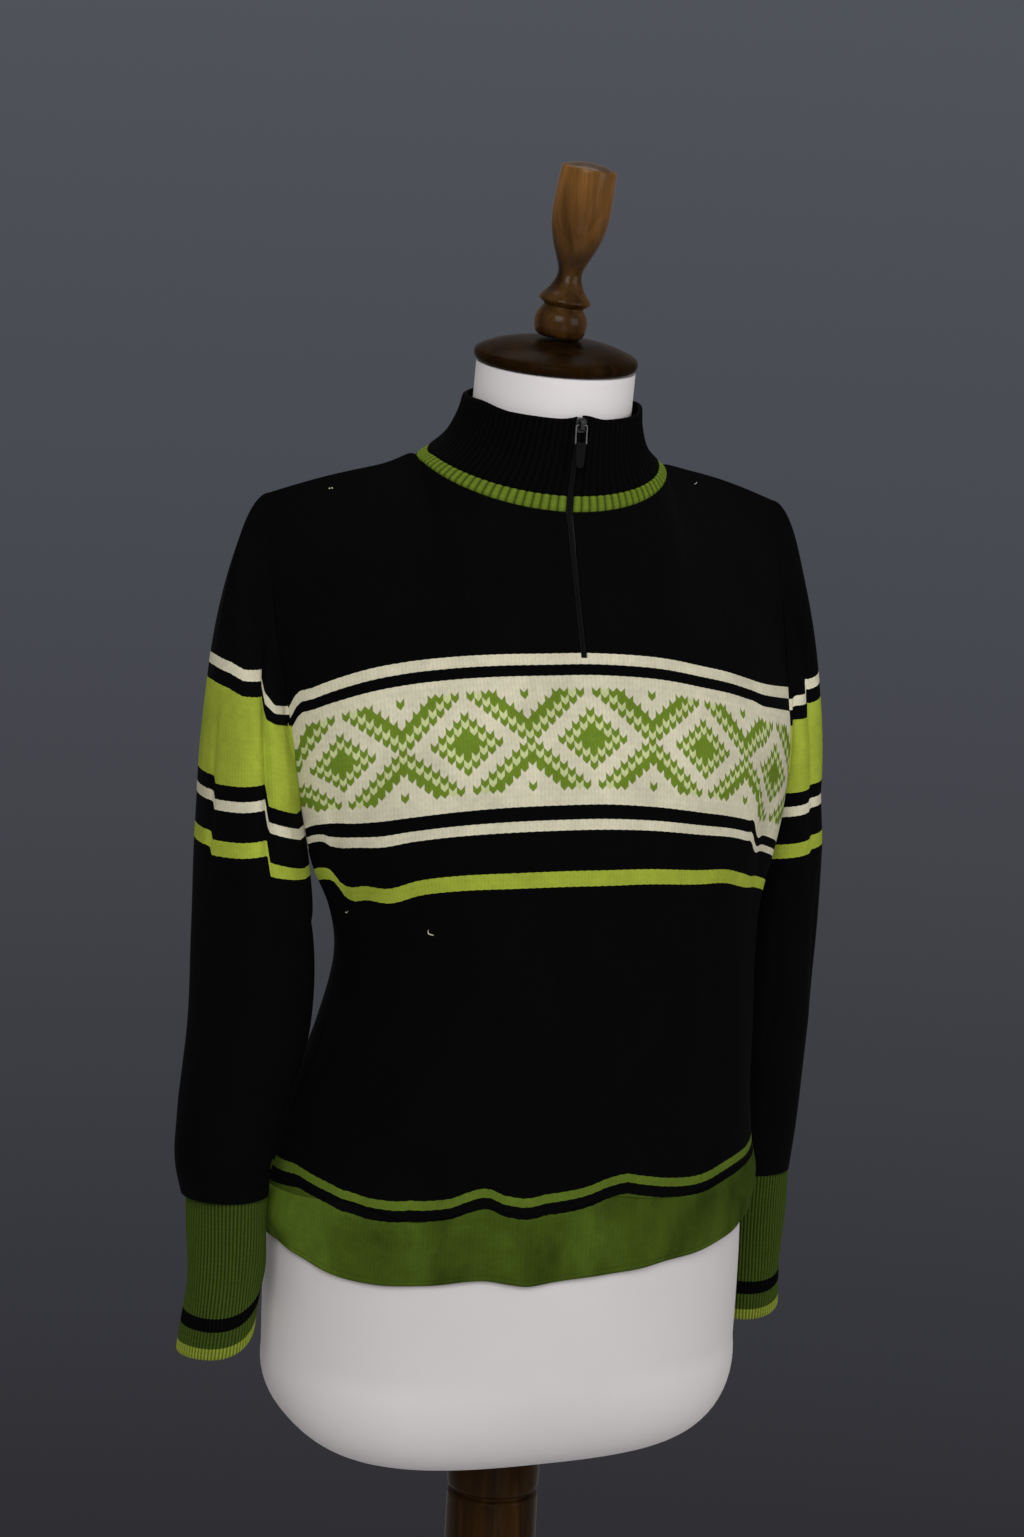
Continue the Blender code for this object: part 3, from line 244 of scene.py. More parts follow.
# Hem: height, half width, front depth and back depth
HEM_RINGS = ((190, 176.5, 119.5, 121.5), (214, 177.5, 120.5, 122.5), (237.5, 176.5, 119.5, 121.8))
# Middle of the armhole as depth and height, how far a sleeve's head stands out under the arm and at the
# shoulder, and the share of the head over which its creases come in
ARMHOLE_CENTRE = (12, 602)
HEAD_OUT = (9, 23)
CREASE_FREE = 0.3

# Creases down the sleeves: their course as (height, place round the sleeve), width as a share of the
# round and depth
RIGHT_CREASES = (
    (((425, 0.243), (500, 0.250), (560, 0.255), (600, 0.275), (640, 0.285), (700, 0.285)), 0.022, 8),
    (((430, 0.33), (520, 0.34), (640, 0.34)), 0.060, -3.5),
    (((300, 0.22), (385, 0.26), (470, 0.30)), 0.045, 3),
    (((470, 0.80), (640, 0.78)), 0.045, 5),
    (((440, 0.050), (466, 0.049), (520, 0.048), (560, 0.046)), 0.012, 1.8),
    (((280, 0.05), (350, 0.10), (420, 0.08)), 0.030, -2),
    (((330, 0.62), (420, 0.55), (480, 0.50)), 0.035, 4),
    (((418, 0.435), (480, 0.44), (552, 0.44)), 0.060, -7.5),
)
LEFT_CREASES = (
    (((420, 0.18), (540, 0.20), (690, 0.22)), 0.045, 6),
    (((300, 0.70), (480, 0.66)), 0.045, 5),
    (((480, 0.74), (660, 0.80)), 0.045, 7),
    (((330, 0.10), (400, 0.14), (450, 0.12)), 0.025, 2),
    (((300, 0.30), (360, 0.27), (420, 0.29)), 0.025, 2.2),
)

# Dress form above its rounded foot. Columns: height, half width, front depth, back depth, middle depth.
# The neck's columns: length along it, radius.
FORM_RINGS = (
    (112, 170.5, -114, 117.5, 0),
    (150, 171, -114.5, 118, 0),
    (190, 170.5, -114.5, 117.5, 0),
    (240, 167, -111, 113, 0),
    (300, 147, -98, 102, 0),
    (360, 124, -88, 84, -3),
    (410, 116, -86, 76, -6),
    (460, 122, -94, 79, -8),
    (500, 134, -103, 85, -8),
    (530, 137, -95, 85, -5),
)
# The form's shoulders as shares of the way up the panels and insets from their outside, how far they reach
# across, and the foot: its height, how far its end lies in at the sides and in depth, its tilt and squareness
FORM_SHOULDERS = ((0.20, 7.5), (0.38, 7.5), (0.58, 6), (0.76, 7.5), (0.87, 15.5))
FORM_REACH = 0.94
FORM_FOOT = 46.0
FOOT_IN = (62, 42)
FOOT_TILT = 0.01
FOOT_SQUARE = 0.8
NECK_FOOT = (0, -1.5, 710)
NECK_RINGS = ((-1, 50), (22, 53), (48, 53), (76.2, 53))
NECK_LEAN = 6.8

# Turned pieces as (radius, height) from their own foot
CAP_FOOT = (0, -9.3, 786.7)
CAP_PROFILE = (
    (50.4, 0), (53.8, 0.8), (54.9, 3.6), (54.2, 6.8), (50.8, 9), (40.5, 13), (28.5, 15.6), (16, 16.6),
    (6, 16.8),
)
FINIAL_FOOT = (0, -11.4, 804.6)
FINIAL_PROFILE = (
    (13.2, 0), (16, 2), (17.5, 6), (17.9, 10.9), (17, 15.5), (14, 19.4), (13.2, 20.7),
    (15.6, 22.1), (18, 24.4), (16.4, 27.3), (11.9, 32.1), (8.8, 38.3), (8, 42.9), (9, 47),
    (11.5, 52.7), (15, 60.5), (18.1, 70.3), (19.6, 81.6), (19.3, 95), (18.7, 108), (18.4, 111.6),
    (17.4, 112.7), (10, 114.9), (4, 115.6),
)
FINIAL_SIDE_LEAN = 5.6
FLOOR = -1000.0 * GROOVE
FLOOR_REACH = 1600.0
POST_PROFILE = (
    (32.2, FLOOR + 25.3), (32.2, -2), (31, 0), (28.6, 1.2), (28.6, 2.8), (31, 4), (32.2, 6),
    (32.2, FORM_FOOT - 2.6), (31, FORM_FOOT - 1.3),
)
BASE_PROFILE = (
    (186, FLOOR), (190, FLOOR + 4), (190, FLOOR + 17), (184, FLOOR + 23.5), (172, FLOOR + 25),
)

# Stitch width and row height
STITCH = 5.5
ROW = 4.18
# Row height in the ribs, columns to the band's repeat and its half height in rows, stitches round a sleeve,
# length round the hem, and how strongly the stitches show as bump and as painted shade in their grooves
RIB_ROW = 3.2
REPEAT = 16.0
BAND_HALF_ROWS = 7.5
SLEEVE_STITCHES = 48.0
HEM_ROUND = 940.0
STITCHED = 0.36
# Painted light: places across where the hem's end grows paler, and heights where the form's cover grows paler
HEM_PAINTED_LIGHT_END = (-165.0, -120.0)
COVER_PAINTED_LIGHT = (560.0, 740.0)
# Heights along the knit
PATTERN_CENTRE = 550.35
TOP_LINE = 601.0
BAND_LINE = 508.0
LIME_LINE = 459.25
HEM_LINE = 237.5
BODY_STRIPES = (
    (200, HEM_LINE, "hem"),
    (245.3, 251.2, "hem_green"),
    (454, 464.5, "lime"),
    (491.5, 498.5, "cream"),
    (BAND_LINE, 590.6, "cream"),
    (597.5, 604.5, "cream"),
)
SLEEVE_STRIPES = (
    (466, 476, "lime"),
    (495.5, 502.5, "cream"),
    (512.5, 573.5, "lime"),
    (583, 590, "cream"),
)
# Where stripe lines lie across each panel. Columns: place across, the lime stripe and the band's lower
# edge as heights in FRONT_ROWS, then the height above the post of the top cream stripe.
FRONT_LINES = (
    (-1.00, 471, 508, 553),
    (-0.955, 470, 507.5, 564.5),
    (-0.925, 466, 506.4, 567),
    (-0.905, 455, 505.8, 568.5),
    (-0.885, 451.5, 505, 570.5),
    (-0.80, 450, 501.6, 578),
    (-0.72, 447.5, 500.6, 584),
    (-0.60, 453, 501.9, 590.5),
    (-0.45, 456.5, 504.6, 595.7),
    (-0.28, 458, 507, 599.2),
    (-0.10, 459, 508, 600.5),
    (0.05, 459, 508, 600.5),
    (0.20, 459, 506, 598.3),
    (0.43, 456.5, 500.5, 590),
    (0.59, 455.5, 497.1, 583),
    (0.66, 453, 495.5, 579),
    (0.708, 451.5, 493.8, 576.2),
    (0.725, 451.3, 488.6, 575.2),
    (0.84, 451, 486.5, 570),
    (0.885, 450.5, 486.3, 568.4),
    (0.985, 449.5, 487, 565),
    (1.00, 449.5, 487, 564.5),
)
BACK_LINES = (
    (-1.00, 471, 500, 553),
    (-0.85, 462, 502, 572),
    (-0.50, 459, 506, 593),
    (0.00, 459.3, 508, 600.5),
    (0.50, 457, 503, 592),
    (0.85, 452, 492, 568),
    (1.00, 449, 489, 552),
)
# How the lower edge waves: across in mm, then the rise of the hem's lower edge and of its seam
FRONT_WAVE = (
    (-177, 9, -4), (-162, 1.7, -2), (-145, -4.5, 1), (-123, -6, -4), (-105, -5, -8),
    (-91, -3.5, -5.5), (-70, 0, 0.5), (-58, 0.5, 3), (-45, -1.5, 0), (-30, -3.5, -3),
    (-12, -1.5, -1.5), (3, 0, 1), (28, 1, 7), (50, 2, 4), (72, 4, 2), (102, 5.6, 3),
    (125, 8, 8), (148, 12.7, 11), (177, 15, 12),
)
BACK_WAVE = (
    (-177, 9, -4), (-140, 3, 0), (-95, -2, -3), (-50, 2, 2), (0, -1, -1),
    (45, 3, 3), (90, 5, 4), (140, 11, 10), (177, 15, 12),
)
WAVE_FADES = 90.0
# Where the hem's black line leaves the seam: across in mm, then how far above the seam it lies
LINE_RISE = (
    (-177, 1), (-172, 3), (-165, 4.5), (-156, -1), (-145, -7), (-132, -7), (-118, -4),
    (-106, 0), (-81, -2), (-65, 0), (-58, -0.6), (-49, -3), (-36, -2.6), (-20, 0),
    (14, -1.3), (28, 0), (40, 2.6), (55, 1.3), (80, -1.3), (110, -4), (150, -5), (177, 0),
)
# The level at which that rise begins to fade, and the height over which it does
LINE_FADES = (255.0, 45.0)
# Up to the first level the knit lies level; above the top stripe its shift stays over the second height
LINES_BEGIN = 300.0
LINES_END = 400.0
# Soft tucks of the hem: angle from the middle of the front in degrees, their lean in degrees from the
# lower edge to the seam, half width in degrees and depth in mm
HEM_TUCKS = (
    (-58, 6, 5, 1.6), (-38, -5, 6, -1.2), (-24, 5, 3, 2.4), (-12, -4, 3, -1.4),
    (-2, 5, 3, 2), (16, 8, 4, 1.5), (34, -6, 4, 1.8), (52, 5, 5, 1.2),
    (112, 6, 5, 1.6), (140, -5, 4, 2), (163, 4, 4, 1.5), (186, -6, 5, 1.8),
    (214, 5, 4, 1.4), (240, -4, 5, 1.7),
)
# The hem's two ends stand out at half height and turn in at the lower edge: angle, half width, reach
HEM_ENDS = ((-88, 20, 3.2), (88, 20, 4))
# Cuff stripes as heights above the cuff's lower edge
CUFF_STRIPES = ((0, 8, "cuff_lime"), (19.5, 29, "black"))

# Specks of lint on the front: place across, height below the underarm or place above it (0 to 1) past
# 1000, length in mm and slant in degrees
LINT = (
    (-0.572, 421.5, 8.5, -55), (-0.900, 436.8, 3.6, 10), (-0.795, 1000.958, 2.8, -10),
    (0.635, 1000.958, 1.8, 20),
)
LINT_RADIUS = 0.28

# Photo camera: turn to the wearer's right, distance and height above the groove in metres, pitch and roll in
# degrees, the frame's height and the focal length in pixels, yaw in radians and the sensor in mm
CAMERA_TURN = -22.0
CAMERA_DISTANCE = 2.341
CAMERA_HEIGHT = 0.904
CAMERA_PITCH = 9.5
CAMERA_ROLL = 2.9
FRAME_TALL = 1537.0
FOCAL = 3500.0
CAMERA_YAW = 17.5 / FOCAL
SENSOR = 36.0

# Colours as (red, green, blue) albedo
COLOURS = {
    "black": (0.0018, 0.0018, 0.0019),
    "cream": (0.665, 0.627, 0.466),
    "pattern_green": (0.150, 0.235, 0.022),
    "pattern_tint": (0.56, 0.61, 0.30),
    "lime": (0.345, 0.420, 0.044),
    "hem_green": (0.100, 0.155, 0.016),
    "hem": (0.052, 0.085, 0.0085),
    "cuff": (0.045, 0.074, 0.010),
    "cuff_lime": (0.235, 0.29, 0.034),
    "trim": (0.128, 0.190, 0.018),
    "form": (0.68, 0.645, 0.648),
    "wood_dark": (0.022, 0.009, 0.003),
    "wood_light": (0.185, 0.082, 0.018),
}


def place(points):
    """Turns millimetre points above the post's groove into metres in the world."""
    world = np.asarray(points, float) * MM
    world[..., 2] += GROOVE
    return world


def along(table, key):
    """Smooth values of a table's other columns at the given first-column values."""
    rows = np.asarray(table, float)
    key = np.clip(np.asarray(key, float), rows[0, 0], rows[-1, 0])
    x = rows[:, 0]
    y = rows[:, 1:]
    slope = np.gradient(y, x, axis=0)
    i = np.clip(np.searchsorted(x, key, side="right") - 1, 0, len(x) - 2)
    width = x[i + 1] - x[i]
    t = ((key - x[i]) / width)[..., None]
    width = width[..., None]
    return (
        (1 + 2 * t) * (1 - t) ** 2 * y[i]
        + t * (1 - t) ** 2 * width * slope[i]
        + t * t * (3 - 2 * t) * y[i + 1]
        + t * t * (t - 1) * width * slope[i + 1]
    )


def soft_step(value):
    """0 below 0, 1 above 1 and a smooth rise between."""
    t = np.clip(value, 0.0, 1.0)
    return t * t * (3.0 - 2.0 * t)


def rounded(off, drop, reach):
    """How far a rounded edge falls in at distances from it."""
    return drop * (1.0 - soft_step(off / reach))


def read_off(table, key):
    """Values of a two-column table, straight between its rows."""
    return np.interp(key, *np.transpose(table))


def around(count):
    """Evenly spaced angles of a full turn."""
    return 2 * math.pi * np.arange(count) / count


def off_round(u, at):
    """How far places round a tube lie from one place, as a share of the round."""
    return np.abs((u - at + 0.5) % 1.0 - 0.5)


def turned_off(angle, at):
    """How far angles in degrees lie from one angle, to either side."""
    return (angle - at + 180.0) % 360.0 - 180.0


def wrapped(grid):
    """A grid with its first column again after its last one."""
    return np.concatenate([grid, grid[:, :1]], axis=1)


def knit_places(across, up):
    """Place across and place along the knit for every point of a grid."""
    return np.stack(np.broadcast_arrays(across, up), -1)


def side_fall(s):
    """How much of a row's droop has come at a share of the way to the side seam."""
    a = np.abs(s)
    return DROOP_SOON * a**2 + (1.0 - DROOP_SOON) * a**4


def plan_curve(s, half, mid_round, side_round):
    """Plan curve of a row: across and toward the middle's depth, both 0..1, evenly spaced by length."""
    x = np.sin(np.linspace(0.0, math.pi / 2, 400))
    y = np.maximum(1.0 - x**mid_round, 0.0) ** (1.0 / side_round)
    step = np.hypot(np.diff(x) * half[0], np.diff(y) * half[1])
    length = np.concatenate(([0.0], np.cumsum(step)))
    a = np.abs(s)
    across = np.interp(a, length / length[-1], x) * np.sign(s)
    return across, np.interp(a, length / length[-1], y)


def fold_height(folds, s, z):
    """How far the folds lift the cloth at places across s and heights z, fading at each fold's ends."""
    lift = np.zeros_like(z)
    for low_s, low_z, high_s, high_z, width, height in folds:
        run = np.array([(high_s - low_s) * PANEL_HALF_LENGTH, high_z - low_z])
        dx = (s - low_s) * PANEL_HALF_LENGTH
        dz = z - low_z
        length = float(run @ run)
        share = np.clip((dx * run[0] + dz * run[1]) / length, 0.0, 1.0)
        off = np.hypot(dx - share * run[0], dz - share * run[1])
        lift += height * np.sin(math.pi * share) ** 0.6 * np.exp(-((off / width) ** 2))
    return lift * (1.0 - np.abs(s) ** 8)


def panel_row(rows, s, height, inset):
    """Points of one knit row of a panel, at the shares s from side to side."""
    side_h, side_x, shift, side_y, mid_y, mid_round, side_round = along(rows, height)
    toward = 1.0 if mid_y < 0 else -1.0
    half = side_x - inset * (1.0 + LENS_INSET * (2.0 - side_round))
    middle = mid_y + toward * inset
    across, depth = plan_curve(s, (half, abs(middle - side_y)), mid_round, side_round)
    x = shift * (1.0 - MIDDLE_STAYS * (1.0 - s**2)) + half * across
    y = side_y + (middle - side_y) * depth
    z = height + (side_h - height) * side_fall(s)
    out = fold_height(FRONT_FOLDS if mid_y < 0 else BACK_FOLDS, s, z)
    x += out * FOLD_SIDEWAYS * s**2 * np.sign(s)
    y -= out * toward * (1.0 - 0.5 * s**2)
    return np.stack([x, y, z], -1)


def neckline(angle, face, inset):
    """Neckline points: angle 0 at the middle, 90 degrees at the neck point, to either side."""
    (mid_y, mid_h), dip = (FRONT_NECK, NECK_DIP) if face == "front" else (BACK_NECK, BACK_RISE)
    side_y, side_h = NECK_SIDE
    if face == "front":
        angle = angle + ZIP_DRIFT * np.cos(angle)
    c = np.cos(angle)
    x = NECK_HALF * np.sin(angle)
    y = side_y + (mid_y - side_y) * c
    z = side_h + (mid_h - side_h) * np.maximum(c, 0.0) ** dip
    across, deep, down = NECK_INWARD
    inward = np.stack([-np.sin(angle) * across, -np.sign(mid_y) * c * deep, np.full_like(c, down)], -1)
    inward /= np.linalg.norm(inward, axis=-1, keepdims=True)
    return np.stack([x, y, z], -1) + inset * inward


def top_edge(s, face, inset):
    """A panel's upper edge: the neckline in the middle and the shoulder seams outside it."""
    a = np.abs(s)
    neck = neckline(np.minimum(a / NECK_SHARE, 1.0) * math.pi / 2 * np.where(s < 0, -1.0, 1.0), face, inset)
    t = np.clip((a - NECK_SHARE) / (1.0 - NECK_SHARE), 0.0, 1.0)
    tip_h, tip_x, tip_shift, tip_y = FRONT_ARMHOLE[-1][:4]
    start = np.array([NECK_HALF, NECK_SIDE[0], NECK_SIDE[1]])
    end = np.array([tip_x + tip_shift, tip_y, tip_h])
    line = start + (end - start) * t[:, None]
    swell = np.where(s < 0, NECK_SWELL[0], NECK_SWELL[1]) * t / SWELL_AT * np.exp(1.0 - t / SWELL_AT)
    line[:, 2] += SEAM_ARCH * np.sin(math.pi * t) + swell - inset
    line[:, 0] *= np.sign(s)
    corner = np.clip(t / NECK_CORNER, 0.0, 1.0)[:, None]
    start_in = neckline(np.array([math.pi / 2]), face, inset)[0] - start
    start_in = start_in * np.stack([np.sign(s), np.ones_like(s), np.ones_like(s)], -1)
    line += (1 - corner) * (start_in - np.array([0.0, 0.0, -inset]))
    return np.where((a <= NECK_SHARE)[:, None], neck, line)


def armhole(share, face, inset, side):
    """A point of the armhole edge from the underarm (0) to the tip (1), with across counted outward."""
    table = FRONT_ARMHOLE if face == "front" else BACK_ARMHOLE
    low, high = table[0][0], table[-1][0]
    height = low + (high - low) * share
    x, shift, y, dx, dy, dz = along(table, height)
    inward = np.array([dx, dy, dz]) / math.sqrt(dx * dx + dy * dy + dz * dz)
    thicker, until = UNDERARM_THICKER
    stretch = 1.0 + thicker * max(0.0, 1.0 - share / until)
    return np.array([x + side * shift, y, height]) + inset * stretch * inward


def panel_upper(face, s, w, inset):
    """Points of the panel above the underarm row: w is 0 at that row and 1 at the top edge."""
    rows, forward = (FRONT_ROWS, -1.0) if face == "front" else (BACK_ROWS, 1.0)
    base = panel_row(rows, s, rows[-1][0], inset)
    a = np.abs(s)
    spread = NECK_BLUR * (1.0 - w) ** 0.7 * np.exp(-(((a - NECK_SHARE) / BLUR_REACH) ** 2))
    top = sum(top_edge(s + k * spread, face, inset) for k in (-1.0, -0.5, 0.0, 0.5, 1.0)) / 5.0
    points = (1.0 - w) * base + w * top
    for side in (-1.0, 1.0):
        end = armhole(w, face, inset, side) * np.array([side, 1.0, 1.0])
        side_base = panel_row(rows, np.array([side]), rows[-1][0], inset)[0]
        side_top = top_edge(np.array([side]), face, inset)[0]
        off = end - ((1.0 - w) * side_base + w * side_top)
        points = points + (np.where(s * side > 0, a, 0.0) ** 3)[:, None] * off
    across, ahead, up = BULGE_WAY
    outward = np.stack([across * np.sign(s) * a, np.full_like(s, ahead * forward), np.full_like(s, up)], -1)
    bulge = UPPER_BULGE[face] * math.sin(math.pi * w) * np.sin(math.pi * a) ** 1.2
    return points + bulge[:, None] * outward


def wave_rise(wave, x, height):
    """How far the hem's wave lifts a point at a place across and a height."""
    bottom, seam = np.moveaxis(along(wave, x), -1, 0)
    low, high = HEM_RINGS[0][0], HEM_RINGS[-1][0]
    in_hem = bottom + (seam - bottom) * np.clip((height - low) / (high - low), 0.0, 1.0)
    return in_hem * (1.0 - soft_step((height - high) / WAVE_FADES))


def line_rise(x):
    """How far above the hem's seam its black line lies at places across."""
    return read_off(LINE_RISE, x)


def panel_grid(face, s, lower, upper, inset):
    """The panel's points from the hem seam up to the shoulders, and each point's height along the knit."""
    rows, lines, wave, forward = {
        "front": (FRONT_ROWS, FRONT_LINES, FRONT_WAVE, -1.0),
        "back": (BACK_ROWS, BACK_LINES, BACK_WAVE, 1.0),
    }[face]
    grid = [panel_row(rows, s, h, inset) for h in lower]
    grid += [panel_upper(face, s, w, inset) for w in upper]
    grid = np.array(grid)
    last = len(lower) - 1
    level = np.repeat(np.asarray(lower, float)[:, None], len(s), axis=1)
    above = lower[-1] + grid[last + 1:, :, 2] - grid[last, :, 2]
    level = np.concatenate([level, above])
    knit = np.empty_like(level)
    for c, (lime, band, top) in enumerate(along(lines, s)):
        top = lower[-1] + top - grid[last, c, 2]
        knots = (lower[0], LINES_BEGIN, lime, band, top, top + LINES_END)
        heights = (lower[0], LINES_BEGIN, LIME_LINE, BAND_LINE, TOP_LINE, TOP_LINE + LINES_END)
        knit[:, c] = np.interp(level[:, c], knots, heights)
    if face == "front":
        knit -= line_rise(grid[..., 0]) * (1.0 - soft_step((level - LINE_FADES[0]) / LINE_FADES[1]))
    grid[..., 1] += 0.5 * forward * SEAM_GAP
    grid[0, :, 2] += 0.5 * SEAM_GAP
    grid[..., 2] += wave_rise(wave, grid[..., 0], level)
    return grid, knit


def grid_quads(rows, cols, closed, keep=None):
    """Row and column of each quad of a grid, and the numbers of its four points in order round it."""
    r, c = np.mgrid[0:rows - 1, 0:cols if closed else cols - 1]
    if keep is not None:
        r, c = r[keep], c[keep]
    r, c = r.ravel(), c.ravel()
    after = (c + 1) % cols
    return r, c, np.stack([r * cols + c, r * cols + after, (r + 1) * cols + after, (r + 1) * cols + c], -1)


def quad_places(uv, r, c):
    """Knit places of the quads' corners. A closed grid's uv has one column more than its points."""
    return np.stack([uv[r, c], uv[r, c + 1], uv[r + 1, c + 1], uv[r + 1, c]], 1)


def in_scene(name, data):
    """A new object in the scene."""
    item = bpy.data.objects.new(name, data)
    bpy.context.scene.collection.objects.link(item)
    return item


class Skin:
    """A mesh under construction: points, faces and each face corner's knit coordinates."""

    def __init__(self):
        self.points = []
        self.faces = []
        self.uvs = []
        self.count = 0

    def add(self, points, faces, uvs=None):
        """Adds points with faces of equal length and uv values per face corner."""
        points = np.asarray(points, float).reshape(-1, 3)
        self.points.append(points)
        self.faces.append(faces + self.count)
        self.uvs.append(np.zeros(faces.shape + (2,)) if uvs is None else uvs)
        self.count += len(points)

    def wall(self, outer, inner, uv, closed=False, keep=None):
        """A closed wall between two grids."""
        rows, cols = outer.shape[:2]
        r, c, quads = grid_quads(rows, cols, closed, keep)
        corner = quad_places(uv, r, c)
        count = rows * cols
        start = quads.ravel()
        end = np.roll(quads, -1, axis=1).ravel()
        lone = ~np.isin(start * count + end, end * count + start)
        a, b = start[lone], end[lone]
        uv_a = corner.reshape(-1, 2)[lone]
        uv_b = np.roll(corner, -1, axis=1).reshape(-1, 2)[lone]
        rim = np.stack([b, a, a + count, b + count], -1)
        rim_uv = np.stack([uv_b, uv_a, uv_a, uv_b], 1)
        faces = np.concatenate([quads, quads[:, ::-1] + count, rim])
        uvs = np.concatenate([corner, corner[:, ::-1], rim_uv])
        self.add(np.concatenate([outer.reshape(-1, 3), inner.reshape(-1, 3)]), faces, uvs)

    def tube(self, rings, uv=None):
        """A closed tube through rings of points, with fans of triangles at its ends."""
        rings = np.asarray(rings, float)
        rows, cols = rings.shape[:2]
        r, c, quads = grid_quads(rows, cols, True)
        base = self.count
        self.add(rings, quads, None if uv is None else quad_places(uv, r, c))
        for row, flip in ((0, True), (rows - 1, False)):
            ring = base + row * cols + np.arange(cols)
            after = np.roll(ring, -1)
            middle = np.full(cols, self.count)
            fan = np.stack([after, ring, middle] if flip else [ring, after, middle], -1)
            self.add(rings[row].mean(axis=0), fan - self.count)

    def object(self, name, material, sharp=60.0):
        """Makes the object, with its faces turned outward."""
        points = np.concatenate(self.points)
        volume = 0.0
        for faces in self.faces:
            first = points[faces[:, 0]]
            for k in range(1, faces.shape[1] - 1):
                cross = np.cross(points[faces[:, k]], points[faces[:, k + 1]])
                volume += float((first * cross).sum())
        way = -1 if volume < 0 else 1
        faces = [face for group in self.faces for face in group[:, ::way].tolist()]
        uvs = np.concatenate([uv[:, ::way].reshape(-1, 2) for uv in self.uvs])
        mesh = bpy.data.meshes.new(name)
        mesh.from_pydata(place(points).tolist(), [], faces)
        mesh.uv_layers.new(name="knit").data.foreach_set("uv", uvs.ravel().astype(np.float32))
        mesh.polygons.foreach_set("use_smooth", np.ones(len(mesh.polygons), bool))
        mesh.set_sharp_from_angle(angle=math.radians(sharp))
        mesh.update()
        mesh.materials.append(material)
        return in_scene(name, mesh)


def stands_for(item, node):
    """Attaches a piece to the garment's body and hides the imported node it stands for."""
    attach(item, BODY)
    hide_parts(node)
    return item


def knitted(name, material, node, slot, outer, inner, places, closed=False):
    """A knitted piece that is one wall."""
    skin = Skin()
    skin.wall(outer, inner, places, closed)
    return stands_for(skin.object(name, material), node)


def wave_cloth(points, size):
    """Small uneven lift of the cloth, the same on every run."""
    x, y, z = np.moveaxis(points, -1, 0)
    across = np.sin(x / size + 1.3 * np.sin(z / (1.7 * size)))
    return RIPPLE_HEIGHT * (across * np.sin(z / (1.4 * size) + 0.8 * np.sin(y / size)))


def lint_thread(skin, at, size, slant):
    """A curled pale thread that lies on the cloth; its knit height is that of a cream stripe."""
    turn = math.radians(slant)
    corner = around(6)
    section = LINT_RADIUS * np.stack([np.cos(corner), np.sin(corner), np.sin(corner + 1.6)], -1)
    rings = []
    for share in np.linspace(-0.5, 0.5, 9):
        ahead = share * size
        curl = 0.16 * size * math.sin(2.0 * math.pi * share)
        across = ahead * math.cos(turn) - curl * math.sin(turn)
        up = ahead * math.sin(turn) + curl * math.cos(turn)
        rings.append(at + np.array([across, -0.45, up]) + section)
    skin.tube(rings, np.full((len(rings), len(corner) + 1, 2), TOP_LINE))


def panel(face, material):
    """The front or the back of the body, with the front's slot for the zip."""
    front = face == "front"
    half = np.linspace(0.0, 1.0, PANEL_COLUMNS)
    if front:
        half[0] = (ZIP_HALF + SEAM_GAP) / PANEL_HALF_LENGTH
    s = np.concatenate([-half[::-1], half if front else half[1:]])
    low, mid, high = PANEL_LEVELS
    lower = np.linspace(FRONT_ROWS[0][0], FRONT_ROWS[-1][0], low)
    beside_slot = np.linspace(0.0, SLOT_SHARE, mid + 1)[1:]
    upper = np.concatenate([beside_slot, np.linspace(SLOT_SHARE, 1.0, high)[1:]])
    outer, knit = panel_grid(face, s, lower, upper, 0.0)
    inner, _ = panel_grid(face, s, lower, upper, KNIT)
    ripple = (-1.0 if front else 1.0) * wave_cloth(outer, PANEL_RIPPLE)
    outer[..., 1] += ripple
    inner[..., 1] += ripple
    keep = np.ones((outer.shape[0] - 1, outer.shape[1] - 1), bool)
    if front:
        keep[len(lower) - 1 + mid:, len(half) - 1] = False
    skin = Skin()
    skin.wall(outer, inner, knit_places(s * PANEL_HALF_LENGTH / STITCH, knit), keep=keep)
    for across, level, size, slant in (LINT if front else ()):
        column = int(np.abs(s - across).argmin())
        row = len(lower) + int(np.abs(upper - level + 1000.0).argmin())
        if level < lower[-1]:
            row = int(np.abs(lower - level).argmin())
        lint_thread(skin, outer[row, column], size, slant)
    return stands_for(skin.object(face + "_knit", material), face + "_panel")


